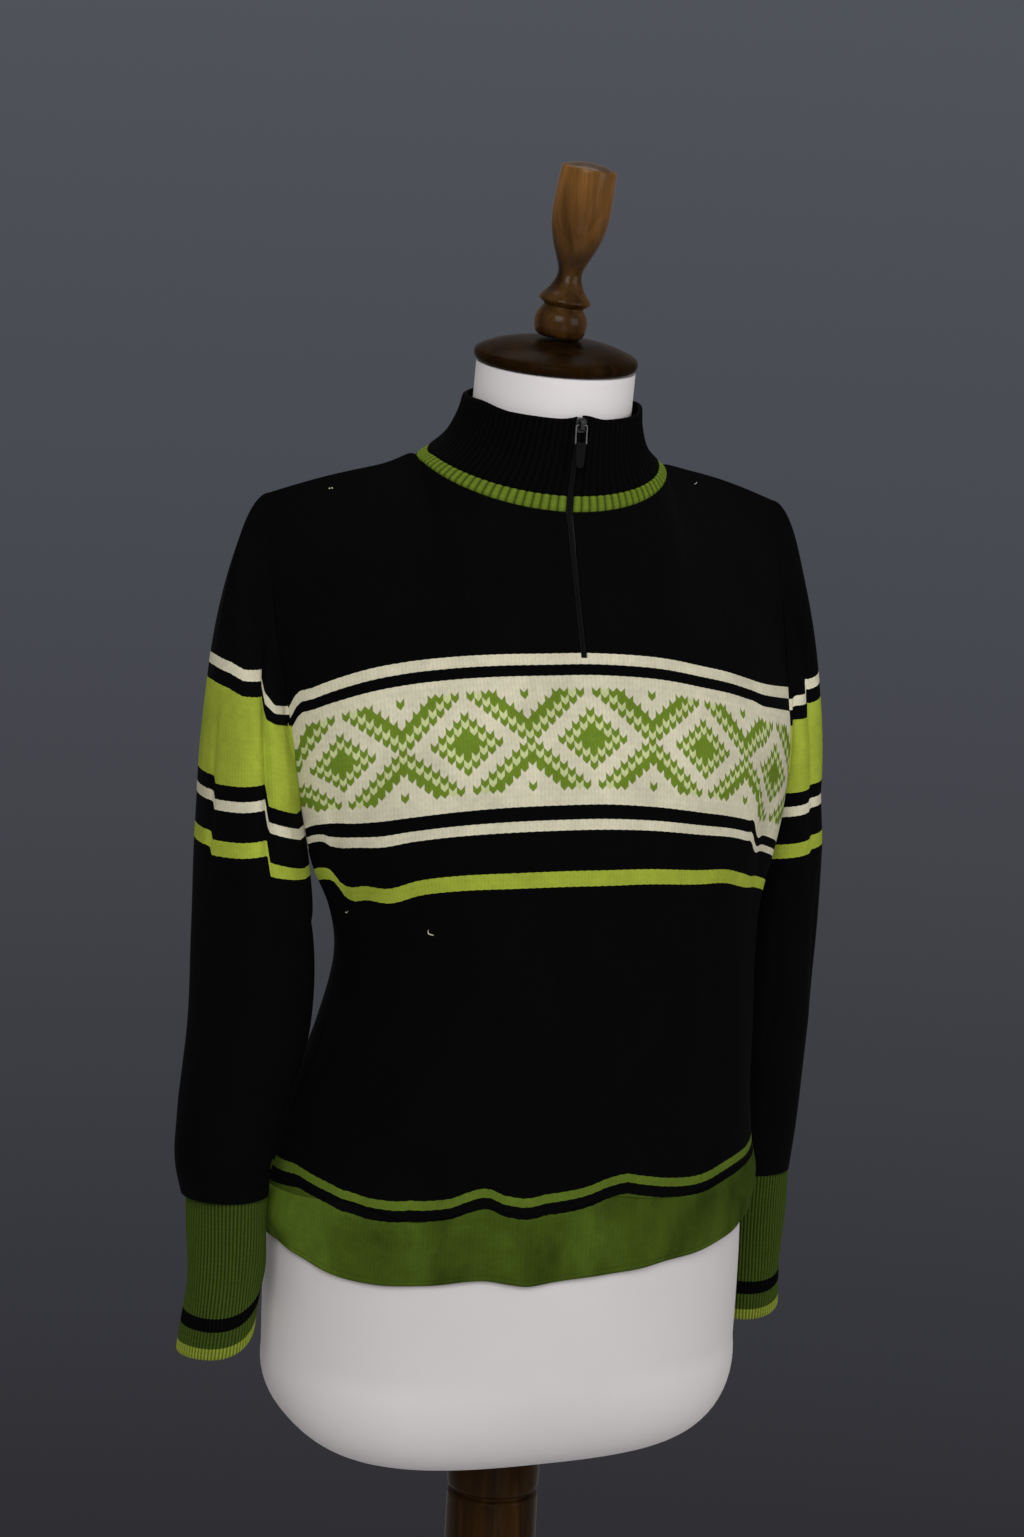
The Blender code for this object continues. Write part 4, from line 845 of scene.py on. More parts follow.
def hem_band(material):
    """The doubled band at the lower edge, with its folded edge and its wave."""
    angle = around(HEM_COLUMNS)
    in_front = np.cos(angle) > 0
    away = np.stack([np.sin(angle), -np.cos(angle), np.zeros_like(angle)], -1)
    top = HEM_RINGS[-1][0] - 0.5 * SEAM_GAP
    low = HEM_RINGS[0][0]
    fold = low + np.array([0.0, 0.5, 1.4, 2.6, 3.2, 3.8, 4.6])
    levels = np.concatenate([fold, np.linspace(low + 6.0, top - 1.5, 16), [top - 0.5, top]])

    def ring(height, inset):
        half, front, back = along(HEM_RINGS, height)
        off = height - low
        share = off / (top - low)
        edge = rounded(off, 0.9, 1.5) + 0.45 * math.exp(-(((off - 3.2) / 0.5) ** 2))
        edge += rounded(top - height, 0.7, 1.2)
        reach = inset + (edge if inset == 0.0 else -0.6 * edge)
        x = (half - reach) * np.sin(angle)
        y = -(np.where(in_front, front, back) - reach) * np.cos(angle)
        lift = np.where(in_front, wave_rise(FRONT_WAVE, x, height), wave_rise(BACK_WAVE, x, height))
        ripple = 0.5 * np.sin(angle * 23.0 + 0.7 * np.sin(angle * 5.0)) * (1.0 - share**2)
        for at, leaning, wide, deep in HEM_TUCKS:
            near = turned_off(np.degrees(angle) - at, leaning * share) / wide
            ripple -= deep * np.exp(-(near**2)) * math.sin(math.pi * min(share, 1.0)) ** 0.5
        for at, wide, reach_out in HEM_ENDS:
            rounding = reach_out * math.sin(math.pi * share) - rounded(share, 2.0, 0.4)
            ripple += rounding * np.exp(-((turned_off(np.degrees(angle), at) / wide) ** 2))
        return np.stack([x, y, height + lift], -1) + ripple[:, None] * away

    outer, inner = (np.array([ring(h, inset) for h in levels]) for inset in (0.0, HEM_DOUBLE))
    stitches = np.arange(HEM_COLUMNS + 1) / HEM_COLUMNS * round(HEM_ROUND / STITCH)
    line = np.where(wrapped(outer[..., 1]) < 0.0, line_rise(wrapped(outer[..., 0])), 0.0)
    places = knit_places(stitches, levels[:, None] - line)
    return knitted("hem_knit", material, "hem_band", "hem_knit", outer, inner, places, closed=True)


def sleeve_section(table, u, height, inset):
    """One ring of a sleeve or cuff at a height: u is 0 outside, 0.25 in front, 0.5 next to the body."""
    cx, cy, ax, ay = along(table, height)
    turn = 2 * math.pi * u
    x = cx + (ax - inset) * np.cos(turn)
    y = cy - (ay - inset) * np.sin(turn)
    return np.stack([x, y, np.full_like(u, height)], -1)


def armhole_ring(u, inset, side):
    """The armhole seam as a ring for the sleeve: u is 0 at the shoulder tip and 0.5 under the arm."""
    ring = []
    for value in u:
        face = "front" if value <= 0.5 else "back"
        share = abs(1.0 - 2.0 * value)
        point = armhole(share, face, 0.0, side)
        point[0] += SLEEVE_GAP
        point[1] += (-0.5 if face == "front" else 0.5) * SEAM_GAP * min(1.0, 4 * (1 - share), 4 * share)
        inward = np.array([0.0, ARMHOLE_CENTRE[0] - point[1], ARMHOLE_CENTRE[1] - point[2]])
        ring.append(point + inset * inward / np.linalg.norm(inward))
    return np.array(ring)


def sleeve_head(table, start, u, t, inset):
    """Points of the sleeve between the armhole ring (t = 0) and the underarm level (t = 1)."""
    end = sleeve_section(table, u, table[-1][0], inset)
    top = 0.5 + 0.5 * np.cos(2 * math.pi * u)
    out = (HEAD_OUT[0] + (HEAD_OUT[1] - HEAD_OUT[0]) * top)[:, None] * np.array([1.0, 0.0, -0.12])
    drop = 0.5 * (start[:, 2] - end[:, 2])[:, None] * np.array([0.0, 0.0, 1.0])
    return (
        (1 - t) ** 3 * start
        + 3 * t * (1 - t) ** 2 * (start + out)
        + 3 * t * t * (1 - t) * (end + drop)
        + t**3 * end
    )


def sleeve_creases(creases, table, points, u, t=1.0):
    """Moves a ring of sleeve points toward the sleeve's axis along its creases, none at the armhole."""
    height = points[:, 2]
    toward = along(table, height)[:, :2] - points[:, :2]
    reach = np.maximum(np.linalg.norm(toward, axis=1), 1.0)
    toward /= reach[:, None]
    depth = np.zeros(len(u))
    for course, width, deep in creases:
        low, high = course[0][0], course[-1][0]
        share = np.clip((height - low) / (high - low), 0.0, 1.0)
        near = off_round(u, read_off(course, height)) / width
        depth += deep * np.sin(math.pi * share) ** 0.6 * np.exp(-(near**1.5))
    depth *= soft_step(t / CREASE_FREE)
    moved = points.copy()
    moved[:, :2] += toward * np.minimum(depth, 0.6 * reach)[:, None]
    return moved


def right_sleeve_knit(u, z):
    """Heights along the right sleeve's knit: rows hang lower beyond its creases."""
    upper = np.interp(u, (0.0, 0.09, 0.15, 0.24, 0.70, 1.0), (0.0, 2.5, 6.5, 7.0, 4.0, 0.0))
    lower = np.interp(u, (0.0, 0.045, 0.06, 0.16, 0.22, 0.70, 0.98), (-1.0, -1.0, 4.0, 2.0, 0.0, -1.0, -1.0))
    rise = lower + (upper - lower) * soft_step((z - 505.0) / 50.0)
    off = u - read_off(RIGHT_CREASES[0][0], z)
    beyond = np.interp(off, (0.003, 0.009, 0.145, 0.245, 0.595), (0.0, 14.0, 22.0, 20.0, 0.0))
    hook = 9.0 * np.interp(off, (0.009, 0.045, 0.15, 0.30), (0.0, 1.0, 1.0, 0.0))
    hook *= soft_step((z - 540.0) / 30.0)
    return z + rise + (beyond + hook) * soft_step((z - 415.0) / 45.0)


def left_sleeve_knit(u, z):
    """Heights along the left sleeve's knit, which hangs lower toward the body."""
    share = soft_step((z - 490.0) / 55.0)
    places = (0.0, 0.06, 0.186, 0.30, 0.50, 0.75, 1.0)
    upper = np.interp(u, places, (11.0, 11.8, 17.5, 18.5, 27.0, 20.0, 11.0))
    lower = np.interp(u, places, (9.0, 10.0, 13.0, 16.0, 22.0, 15.0, 9.0))
    off = u - read_off(LEFT_CREASES[0][0], z)
    beyond = np.interp(off, (0.003, 0.009, 0.12, 0.35, 0.55), (0.0, 1.0, 1.0, 0.6, 0.0))
    return z + lower + (upper - lower) * share + beyond * (2.0 + 7.5 * share)


def sleeve(name, side, table, creases, knit_height, material):
    """One sleeve: side is 1 for the wearer's left and -1 for the right."""
    columns, head_rows, arm_rows = SLEEVE_GRID
    u = np.arange(columns) / columns
    levels = np.linspace(table[-1][0], table[0][0] + 0.5 * SEAM_GAP, arm_rows)[1:]
    grids = []
    for inset in (0.0, KNIT):
        start = armhole_ring(u, inset, side)
        rows = []
        for t in np.linspace(0.0, 1.0, head_rows):
            rows.append(sleeve_creases(creases, table, sleeve_head(table, start, u, t, inset), u, t))
        for height in levels:
            rows.append(sleeve_creases(creases, table, sleeve_section(table, u, height, inset), u))
        grids.append(np.array(rows))
    ripple = wave_cloth(grids[0], SLEEVE_RIPPLE)
    for grid in grids:
        grid[..., 0] = side * (grid[..., 0] + ripple)
    wrap = np.append(u, 1.0)
    places = knit_places(wrap * SLEEVE_STITCHES, knit_height(wrap, wrapped(grids[0][..., 2])))
    return knitted(name + "_knit", material, name, "sleeve_knit", *grids, places, closed=True)


def rib_profile(phase):
    """Height of a rib across its width, 0 in the valleys and 1 on the ridge."""
    wave = 0.5 - 0.5 * np.cos(2 * math.pi * phase)
    return wave**0.55


def cuff_rise(name, u, height, low):
    """How far a cuff's lower end is pushed up at places round it."""
    at, width, rise = CUFF_RISES[name]
    begins, ends = RISE_FADES
    fading = rounded(height - low - begins, 1.0, ends - begins)
    return rise * np.exp(-((off_round(u, at) / width) ** 2)) * fading


def cuff(name, side, table, material):
    """One ribbed cuff below its sleeve."""
    low, high = table[0][0], table[-1][0] - 0.5 * SEAM_GAP
    columns = CUFF_RIBS * PER_RIB
    u = np.arange(columns) / columns
    ribs = np.arange(columns + 1) / PER_RIB
    ridge = rib_profile(ribs[:-1])
    levels = np.concatenate([[high, high - 0.8], np.linspace(high - 3.0, low + 3.0, 20), [low + 1.0, low]])
    outer = []
    inner = []
    for height in levels:
        edge = rounded(min(height - low, high - height), 0.8, 1.2)
        wave = 0.7 * np.sin(2 * math.pi * (3 * u + height / 90.0))
        ring = sleeve_section(table, u, height, 0.0)
        away = ring - ring.mean(axis=0)
        away /= np.linalg.norm(away, axis=1)[:, None]
        rise = cuff_rise(name, u, height, low)[:, None] * np.array([0.0, 0.0, 1.0])
        within = sleeve_section(table, u, height, RIBBED)
        outer.append(ring + rise + (0.8 * ridge - edge + wave)[:, None] * away)
        inner.append(within + rise + (wave + edge - 0.3 * ridge)[:, None] * away)
    outer, inner = (np.array(rows) * np.array([side, 1.0, 1.0]) for rows in (outer, inner))
    places = knit_places(ribs, (levels - low)[:, None])
    return knitted(name + "_rib", material, name, "cuff_rib", outer, inner, places, closed=True)


def sag_share(angle):
    """How much of the collar's sag has come at an angle from the zip."""
    off = np.abs((angle + math.pi) % (2 * math.pi) - math.pi)
    return (1.0 - np.exp(-((off / SAG_BEGINS) ** 2))) * soft_step(2.0 * (SAG_ENDS - off))


def collar_ring(share, angle, inset):
    """Collar points at a share of the way up: angle 0 at the zip, growing toward the wearer's left."""
    half, depth, middle, front_h, side_h, back_h = along(COLLAR_RINGS, share)
    angle = angle + ZIP_DRIFT * np.maximum(np.cos(angle), 0.0)
    c = np.cos(angle)
    x = half * np.sin(angle)
    y = middle - depth * c
    z = side_h + (front_h - side_h) * np.maximum(c, 0.0) ** NECK_DIP
    z += (back_h - side_h) * np.maximum(-c, 0.0) ** BACK_RISE
    z -= COLLAR_SAG * share**3 * sag_share(angle)
    lean = math.radians(COLLAR_BASE_LEAN) * max(1.0 - share, 0.0) ** LEAN_FADES
    level = np.stack([-np.sin(angle), c, np.zeros_like(c)], -1)
    inward = level * math.cos(lean) - np.array([0.0, 0.0, math.sin(lean)])
    return np.stack([x, y, z], -1) + inset * inward


def collar_band(name, node, low, high, rows, opening, rib_height, material):
    """A ribbed band round the neck between two shares of the collar's height, open at the zip."""
    ribs = np.arange(COLLAR_RIBS * PER_RIB + 1) / PER_RIB
    ridge = rib_profile(ribs)
    outer = []
    inner = []
    shares = np.sort(np.concatenate([np.linspace(low, high, rows), [low + 0.006, high - 0.006]]))
    for share in shares:
        start = opening / along(COLLAR_RINGS, share)[0]
        angle = np.linspace(start, 2 * math.pi - start, len(ribs))
        base = collar_ring(share, angle, 0.0)
        outward = base - collar_ring(share, angle, 1.0)
        t = (share - low) / (high - low)
        edge = rounded(min(t, 1.0 - t) * (COLLAR_LENGTH * (high - low)), 0.8, 1.3)
        outer.append(base + (rib_height * ridge - edge)[:, None] * outward)
        inner.append(collar_ring(share, angle, RIBBED - 0.6 * edge) + 0.3 * ridge[:, None] * outward)
    places = knit_places(ribs, (shares * COLLAR_LENGTH)[:, None])
    return knitted(name, material, node, name, np.array(outer), np.array(inner), places)


def zip_course(count):
    """Outer and inner points of the zip from its foot to the collar's top."""
    middle = np.array([0.0])
    courses = []
    for knit, rib in ((0.0, 0.0), (KNIT, RIBBED)):
        body = [panel_upper("front", middle, w, knit)[0] for w in np.linspace(SLOT_SHARE, 1.0, count)]
        shares = np.linspace(TRIM_TOP * 0.4, ZIP_TOP_SHARE, count)
        courses.append(np.array(body + [collar_ring(share, middle, rib)[0] for share in shares]))
    return courses


def on_course(points, length, at):
    """The point of a course at a length along it."""
    return np.array([np.interp(at, length, points[:, k]) for k in range(3)])


def zip_chain(material):
    """The closed coil zip: two woven tape edges and the interlocked turns of its coil."""
    pitch = 1.35
    turn_radius = 0.34
    tooth_reach = 0.72
    tape = 1.9
    aside = np.array([1.0, 0.0, 0.0])
    outer, inner = zip_course(40)
    length = np.concatenate([[0.0], np.cumsum(np.linalg.norm(np.diff(outer, axis=0), axis=1))])
    skin = Skin()
    rings = []
    for at in np.linspace(0.5, length[-1], 90):
        near = on_course(outer, length, at)
        far = on_course(inner, length, at)
        into = (far - near) / np.linalg.norm(far - near)
        corners = ((-tape, 0.7), (tape, 0.7), (tape, 1.9), (-tape, 1.9))
        rings.append([near + into * depth + x * aside for x, depth in corners])
    skin.tube(rings)
    for at in np.arange(1.2, length[-1] - 0.8, pitch):
        for side in (-1.0, 1.0):
            spot = at + (0.5 * pitch if side > 0 else 0.0)
            near = on_course(outer, length, spot)
            up = on_course(outer, length, spot + 1.0) - near
            up /= max(np.linalg.norm(up), 1e-6)
            out = near - on_course(inner, length, spot)
            out /= np.linalg.norm(out)
            spokes = [math.cos(turn) * up + math.sin(turn) * out for turn in around(6)]
            rings = []
            for share in np.linspace(0.0, 1.0, 5):
                reach = side * (tooth_reach + 0.35 - share * (tooth_reach + 0.75))
                rise = 0.15 + 0.4 * math.sin(math.pi * share) - 0.55
                centre = near + reach * aside + out * rise
                radius = turn_radius * (0.75 if share in (0.0, 1.0) else 1.0)
                rings.append([centre + radius * spoke for spoke in spokes])
            skin.tube(rings)
    return stands_for(skin.object("zip_coil_chain", material, 50.0), "zip_chain")


def leaned(points, origin, forward, sideways):
    """Tips points about an origin: forward toward -Y, then toward the wearer's left."""
    a = math.radians(forward)
    b = math.radians(sideways)
    x, y, z = points[..., 0], points[..., 1], points[..., 2]
    y, z = y * math.cos(a) - z * math.sin(a), z * math.cos(a) + y * math.sin(a)
    x, z = x * math.cos(b) + z * math.sin(b), z * math.cos(b) - x * math.sin(b)
    return np.stack([x, y, z], -1) + np.asarray(origin, float)


def lathe(profile, columns):
    """Rings of a turned solid from (radius, height) pairs, with softened corners."""
    course = np.asarray(profile, float)
    for _ in range(4):
        before, after = course[:-1], course[1:]
        cut = np.stack([0.8 * before + 0.2 * after, 0.2 * before + 0.8 * after], 1).reshape(-1, 2)
        course = np.concatenate([course[:1], cut, course[-1:]])
        if len(course) > 160:
            break
    turn = around(columns)
    radius, height = course[:, :1], course[:, 1:]
    return np.stack(np.broadcast_arrays(radius * np.cos(turn), radius * np.sin(turn), height), -1)


def turned(name, node, profile, columns, material, origin=(0.0, 0.0, 0.0), forward=0.0, sideways=0.0):
    """A turned solid stood on an origin and leaned."""
    skin = Skin()
    skin.tube(leaned(lathe(profile, columns), origin, forward, sideways))
    return stands_for(skin.object(name, material, 40.0), node)


def form_ring(angle, half, front, back, middle, height, foot=0.0):
    """One ring of the dress form, an oval that grows squarer and tilts sideways toward the foot."""
    power = 1.0 / (1.0 + 0.5 * FOOT_SQUARE * foot)
    c = np.cos(angle)
    across = half * np.sign(np.sin(angle)) * np.abs(np.sin(angle)) ** power
    depth = np.where(c > 0, middle - front, back - middle) * np.sign(c) * np.abs(c) ** power
    return np.stack([across, middle - depth, height + FOOT_TILT * foot * across], -1)


def form_torso(material):
    """The limbless form: rounded underside, hips, waist, bust, shoulders and leaning neck."""
    per_half, foot_rows, body_rows, neck_rows = FORM_GRID
    order = np.arange(per_half) - (per_half - 1) / 2
    front_angle = order * math.pi / per_half
    angle = np.concatenate([front_angle, front_angle + math.pi])
    shares = FORM_REACH * order / order[-1]
    rings = []
    half, front, back, middle = along(FORM_RINGS, FORM_RINGS[0][0])
    for step in np.linspace(0.0, 1.0, foot_rows, endpoint=False):
        turn = step * math.pi / 2
        height = FORM_FOOT + (FORM_RINGS[0][0] - FORM_FOOT) * (1.0 - math.cos(turn))
        aside, ahead = (reach * (1.0 - math.sin(turn)) for reach in FOOT_IN)
        foot = math.cos(turn)
        rings.append(form_ring(angle, half - aside, front + ahead, back - ahead, middle, height, foot))
    for height in np.linspace(FORM_RINGS[0][0], FORM_RINGS[-1][0], body_rows):
        rings.append(form_ring(angle, *along(FORM_RINGS, height), height))
    for w, inset in FORM_SHOULDERS:
        front_row = panel_upper("front", shares, w, inset)
        back_row = panel_upper("back", shares[::-1], w, inset)
        rings.append(np.concatenate([front_row, back_row]))
    for length in np.linspace(NECK_RINGS[0][0], NECK_RINGS[-1][0], neck_rows):
        radius = read_off(NECK_RINGS, length)
        ring = np.stack([radius * np.sin(angle), -radius * np.cos(angle), np.full_like(angle, length)], -1)
        rings.append(leaned(ring, NECK_FOOT, NECK_LEAN, 0.0))
    skin = Skin()
    skin.tube(rings)
    return stands_for(skin.object("form_cover", material, 50.0), "form_torso")


def reckoned(operation, swapped=False):
    """A way of reckoning with numbers inside a material, with the number itself last if swapped."""
    def result(number, *others):
        return number.graph.math(operation, *((*others, number) if swapped else (number, *others)))

    return result


class Number:
    """A number inside a material, which can be reckoned with like any other."""

    def __init__(self, graph, socket):
        self.graph = graph
        self.socket = socket

    __add__ = __radd__ = reckoned("ADD")
    __sub__ = reckoned("SUBTRACT")
    __rsub__ = reckoned("SUBTRACT", swapped=True)
    __mul__ = __rmul__ = reckoned("MULTIPLY")
    __truediv__ = reckoned("DIVIDE")
    round = reckoned("ROUND")
    size = reckoned("ABSOLUTE")
    cosine = reckoned("COSINE")
    over = reckoned("GREATER_THAN")
    under = reckoned("LESS_THAN")
    least = reckoned("MINIMUM")
    most = reckoned("MAXIMUM")
    remainder = reckoned("FLOORED_MODULO")
    power = reckoned("POWER")

    def equals(self, value):
        return self.graph.math("COMPARE", self, value, 0.5)

    def between(self, low, high):
        return self.over(low) * self.under(high)

    def share(self):
        """The number kept between 0 and 1."""
        return self.most(0.0).least(1.0)


def settle(node, values):
    """Sets the sockets of a node that stay constant."""
    for socket, value in values.items():
        node.inputs[socket].default_value = value


class Graph:
    """A procedural material under construction."""

    def __init__(self, name, roughness, metallic=0.0, gloss=0.5):
        self.material = bpy.data.materials.new(name)
        self.material.use_nodes = True
        self.tree = self.material.node_tree
        self.shader = self.tree.nodes["Principled BSDF"]
        settle(self.shader, {"Roughness": roughness, "Metallic": metallic, "Specular IOR Level": gloss})

    def node(self, kind, **settings):
        made = self.tree.nodes.new("ShaderNode" + kind)
        for key, value in settings.items():
            setattr(made, key, value)
        return made

    def feed(self, socket, value):
        if isinstance(value, Number):
            value = value.socket
        if isinstance(value, bpy.types.NodeSocket):
            self.tree.links.new(value, socket)
        elif isinstance(value, tuple) and len(value) == 3 and socket.type == "RGBA":
            socket.default_value = (*value, 1.0)
        else:
            socket.default_value = value

    def math(self, operation, *values):
        made = self.node("Math", operation=operation)
        for socket, value in zip(made.inputs, values):
            self.feed(socket, value)
        return Number(self, made.outputs[0])

    def mix(self, share, first, second):
        """Mixes two colours: first where the share is 0, second where it is 1."""
        made = self.node("Mix", data_type="RGBA")
        for number, value in ((0, share), (6, first), (7, second)):
            self.feed(made.inputs[number], value)
        return made.outputs[2]

    def parts(self, vector):
        """The three numbers of a vector."""
        split = self.node("SeparateXYZ")
        self.feed(split.inputs[0], vector)
        return [Number(self, socket) for socket in split.outputs]

    def knit(self):
        """Stitches across and millimetres along, from the piece's knit coordinates."""
        return self.parts(self.node("UVMap", uv_map="knit").outputs[0])[:2]

    def spot(self, stretch=(1.0, 1.0, 1.0)):
        """The place in the object, stretched."""
        mapping = self.node("Mapping")
        self.feed(mapping.inputs[0], self.node("TexCoord").outputs["Object"])
        settle(mapping, {"Scale": stretch})
        return mapping.outputs[0]

    def climb(self, low, high, axis=2):
        """Share of the way between two places in mm: heights above the groove, or across for axis 0."""
        start = low * MM + (GROOVE if axis == 2 else 0.0)
        return ((self.parts(self.spot())[axis] - start) * (1.0 / ((high - low) * MM))).share()

    def lying(self, low, high):
        """Share that tells level faces looking up, from 0 at one upward slope to 1 at another."""
        upward = self.parts(self.node("NewGeometry").outputs["Normal"])[2]
        return ((upward - low) * (1.0 / (high - low))).share()

    def noise(self, scale, detail=3.0, stretch=(1.0, 1.0, 1.0), distortion=0.0):
        made = self.node("TexNoise")
        self.feed(made.inputs["Vector"], self.spot(stretch))
        settle(made, {"Scale": scale, "Detail": detail, "Distortion": distortion})
        return Number(self, made.outputs[0])

    def striped(self, colour, height, stripes):
        """Lays other colours over one, each between two heights."""
        for low, high, stripe in stripes:
            colour = self.mix(height.between(low, high), colour, COLOURS[stripe])
        return colour

    def shade(self, colour, *steps):
        """Makes a colour darker or lighter in steps: a factor at share 0, one at share 1 and the share."""
        for low, high, share in steps:
            made = self.node("VectorMath", operation="SCALE")
            self.feed(made.inputs[0], colour)
            self.feed(made.inputs["Scale"], low + (high - low) * share)
            colour = made.outputs[0]
        return colour

    def done(self, colour, height=None, depth=0.0, strength=1.0):
        """Puts the colour and a bump on the shader and returns the material."""
        self.feed(self.shader.inputs["Base Color"], colour)
        if height is not None:
            made = self.node("Bump")
            settle(made, {"Distance": depth, "Strength": strength})
            self.feed(made.inputs["Height"], height)
            self.feed(self.shader.inputs["Normal"], made.outputs[0])
        return self.material


def stitch_parts(across, along_knit):
    """Place inside the knit: column, distance from its middle, and rows with each stitch's V."""
    column = across.round()
    leg = (across - column).size() * 2.0
    rows = (along_knit - PATTERN_CENTRE) / ROW - 0.65 * (leg - 0.5)
    return column, leg, rows


def chart(column, rows):
    """The band's pattern: where the yarn is green, and where cream stitches are tinted by it."""
    column_in = (column + 0.5 * REPEAT).remainder(REPEAT)
    from_cross = column_in.least(REPEAT - column_in)
    from_middle = rows.round().size()
    slant = from_cross - from_middle
    inside = from_middle.under(BAND_HALF_ROWS)
    green = slant.equals(-3) + slant.equals(-2) + slant.equals(0) + slant.equals(4) + slant.over(5.5)
    dot = from_cross.equals(0) * from_middle.equals(7)
    tinted = slant.equals(-1) + slant.equals(5)
    return (green * inside + dot).least(1.0), tinted * inside


def knit_material(name, ground, stripes, patterned=False, blotched=0.12, painted_light_end=0.0):
    """Fine stocking stitch with stripes, the band's pattern where there is one, painted shade in the grooves
    between stitches and, if asked, painted light on a paler right end.
    """
    graph = Graph(name, 0.97, gloss=0.04)
    across, height = graph.knit()
    column, leg, rows = stitch_parts(across, height)
    colour = graph.striped(COLOURS[ground], height + 0.25 * (0.5 - leg), stripes)
    if patterned:
        green, tinted = chart(column, rows)
        colour = graph.mix(tinted, colour, COLOURS["pattern_tint"])
        colour = graph.mix(green, colour, COLOURS["pattern_green"])
    ridge = 1.0 - (2.0 * leg - 1.0).size()
    turn = 0.5 + 0.5 * (2.0 * math.pi * rows).cosine()
    yarn = ridge.most(0.0).power(0.5) * (0.55 + 0.45 * turn)
    blotch = ((graph.noise(26.0, 4.0, (1.0, 1.0, 0.7), 0.4) - 0.3) * 2.5).share()
    fine = graph.noise(1400.0, 2.0)
    colour = graph.shade(colour, (0.80, 1.12, graph.noise(170.0)), (1.0 - blotched, 1.0 + blotched, blotch))
    # Painted light: the wearer's right end of the hem is made paler.
    if painted_light_end:
        colour = graph.shade(colour, (1.0 + painted_light_end, 1.0, graph.climb(*HEM_PAINTED_LIGHT_END, axis=0)))
    # Painted shade in the grooves between the stitches and a slight painted highlight on the yarn.
    colour = graph.shade(colour, (1.0 - 0.30 * STITCHED, 1.0 + 0.10 * STITCHED, yarn), (0.90, 1.10, fine))
    return graph.done(colour, yarn + 0.35 * fine, 0.0004, 0.6 * STITCHED)


def rib_material(name, ground, valley, stripes=(), narrow=0.6):
    """Ribbed knit: painted shade in the valleys, a slight painted highlight on the ridges, and the stripes of
    a cuff.
    """
    graph = Graph(name, 0.95, gloss=0.04)
    across, height = graph.knit()
    ridge = (0.5 - 0.5 * (2.0 * math.pi * across).cosine()).power(narrow)
    rows = 0.5 + 0.5 * (height * (2.0 * math.pi / RIB_ROW)).cosine()
    fine = graph.noise(1500.0, 2.0)
    colour = graph.striped(COLOURS[ground], height, stripes)
    mottle = graph.noise(220.0)
    # The valley factor paints shade into the valleys between ribs; the ridges get a slight painted highlight.
    colour = graph.shade(colour, (valley, 1.1, ridge), (0.82, 1.15, mottle), (0.92, 1.08, rows * fine))
    return graph.done(colour, 0.3 * rows * ridge + 0.3 * fine, 0.0004, 0.6)


def cover_material():
    """Smooth stretched cover of the form, with a faint weave and painted light that makes it paler toward the
    neck.
    """
    graph = Graph("form_cover", 0.85, gloss=0.25)
    weave = graph.noise(1100.0, 2.0)
    # Painted light: the cover grows paler upward toward the neck.
    steps = ((0.96, 1.04, graph.noise(14.0)), (0.98, 1.02, weave), (1.0, 1.16, graph.climb(*COVER_PAINTED_LIGHT)))
    return graph.done(graph.shade(COLOURS["form"], *steps), weave, 0.0002, 0.25)


def wood_material(name, light=1.0, stretch=(1.0, 1.0, 0.12), paler=None, gloss=0.2, coat=0.12, dull=0.1):
    """Stained and varnished wood with long grain; if two heights are given, paler upward between them, with
    painted shade on faces that look up.
    """
    graph = Graph(name, 0.28, gloss=gloss)
    settle(graph.shader, {"Coat Weight": coat, "Coat Roughness": dull})
    grain = graph.noise(90.0, 6.0, stretch, 0.6)
    pores = graph.noise(900.0, 3.0, (1.0, 1.0, 0.06))
    colour = graph.mix(((grain - 0.24) * 1.8).share(), COLOURS["wood_dark"], COLOURS["wood_light"])
    colour = graph.shade(colour, (0.7 * light, 1.3 * light, pores), (0.8, 1.2, graph.noise(22.0, 2.0)))
    if paler:
        # Paler upward between the two heights, and painted shade on faces that look up.
        colour = graph.shade(colour, (0.46, 1.34, graph.climb(*paler)), (1.0, 0.40, graph.lying(0.6, 0.9)))
    return graph.done(colour, pores + 0.5 * grain, 0.00025, 0.3)


def metal_material(name, colour, roughness):
    """Metal with fine scratches and uneven polish."""
    graph = Graph(name, roughness, metallic=1.0)
    fine = graph.noise(1800.0, 2.0, (1.0, 1.0, 0.2))
    graph.feed(graph.shader.inputs["Roughness"], roughness * 0.8 + 0.4 * roughness * fine)
    return graph.done(graph.shade(colour, (0.75, 1.25, graph.noise(160.0))), fine, 0.00005, 0.3)


def strap_material(name, colour):
    """Woven strap or tape."""
    graph = Graph(name, 0.75, gloss=0.05)
    weave = graph.noise(1500.0, 2.0, (1.0, 1.0, 0.35))
    colour = graph.shade(colour, (0.75, 1.3, weave), (0.85, 1.15, graph.noise(200.0, 2.0)))
    return graph.done(colour, weave, 0.0002, 0.6)


def floor_material():
    """Plain pale floor."""
    graph = Graph("floor", 0.8)
    return graph.done(graph.shade((0.62, 0.62, 0.63), (0.98, 1.02, graph.noise(6.0, 2.0))))


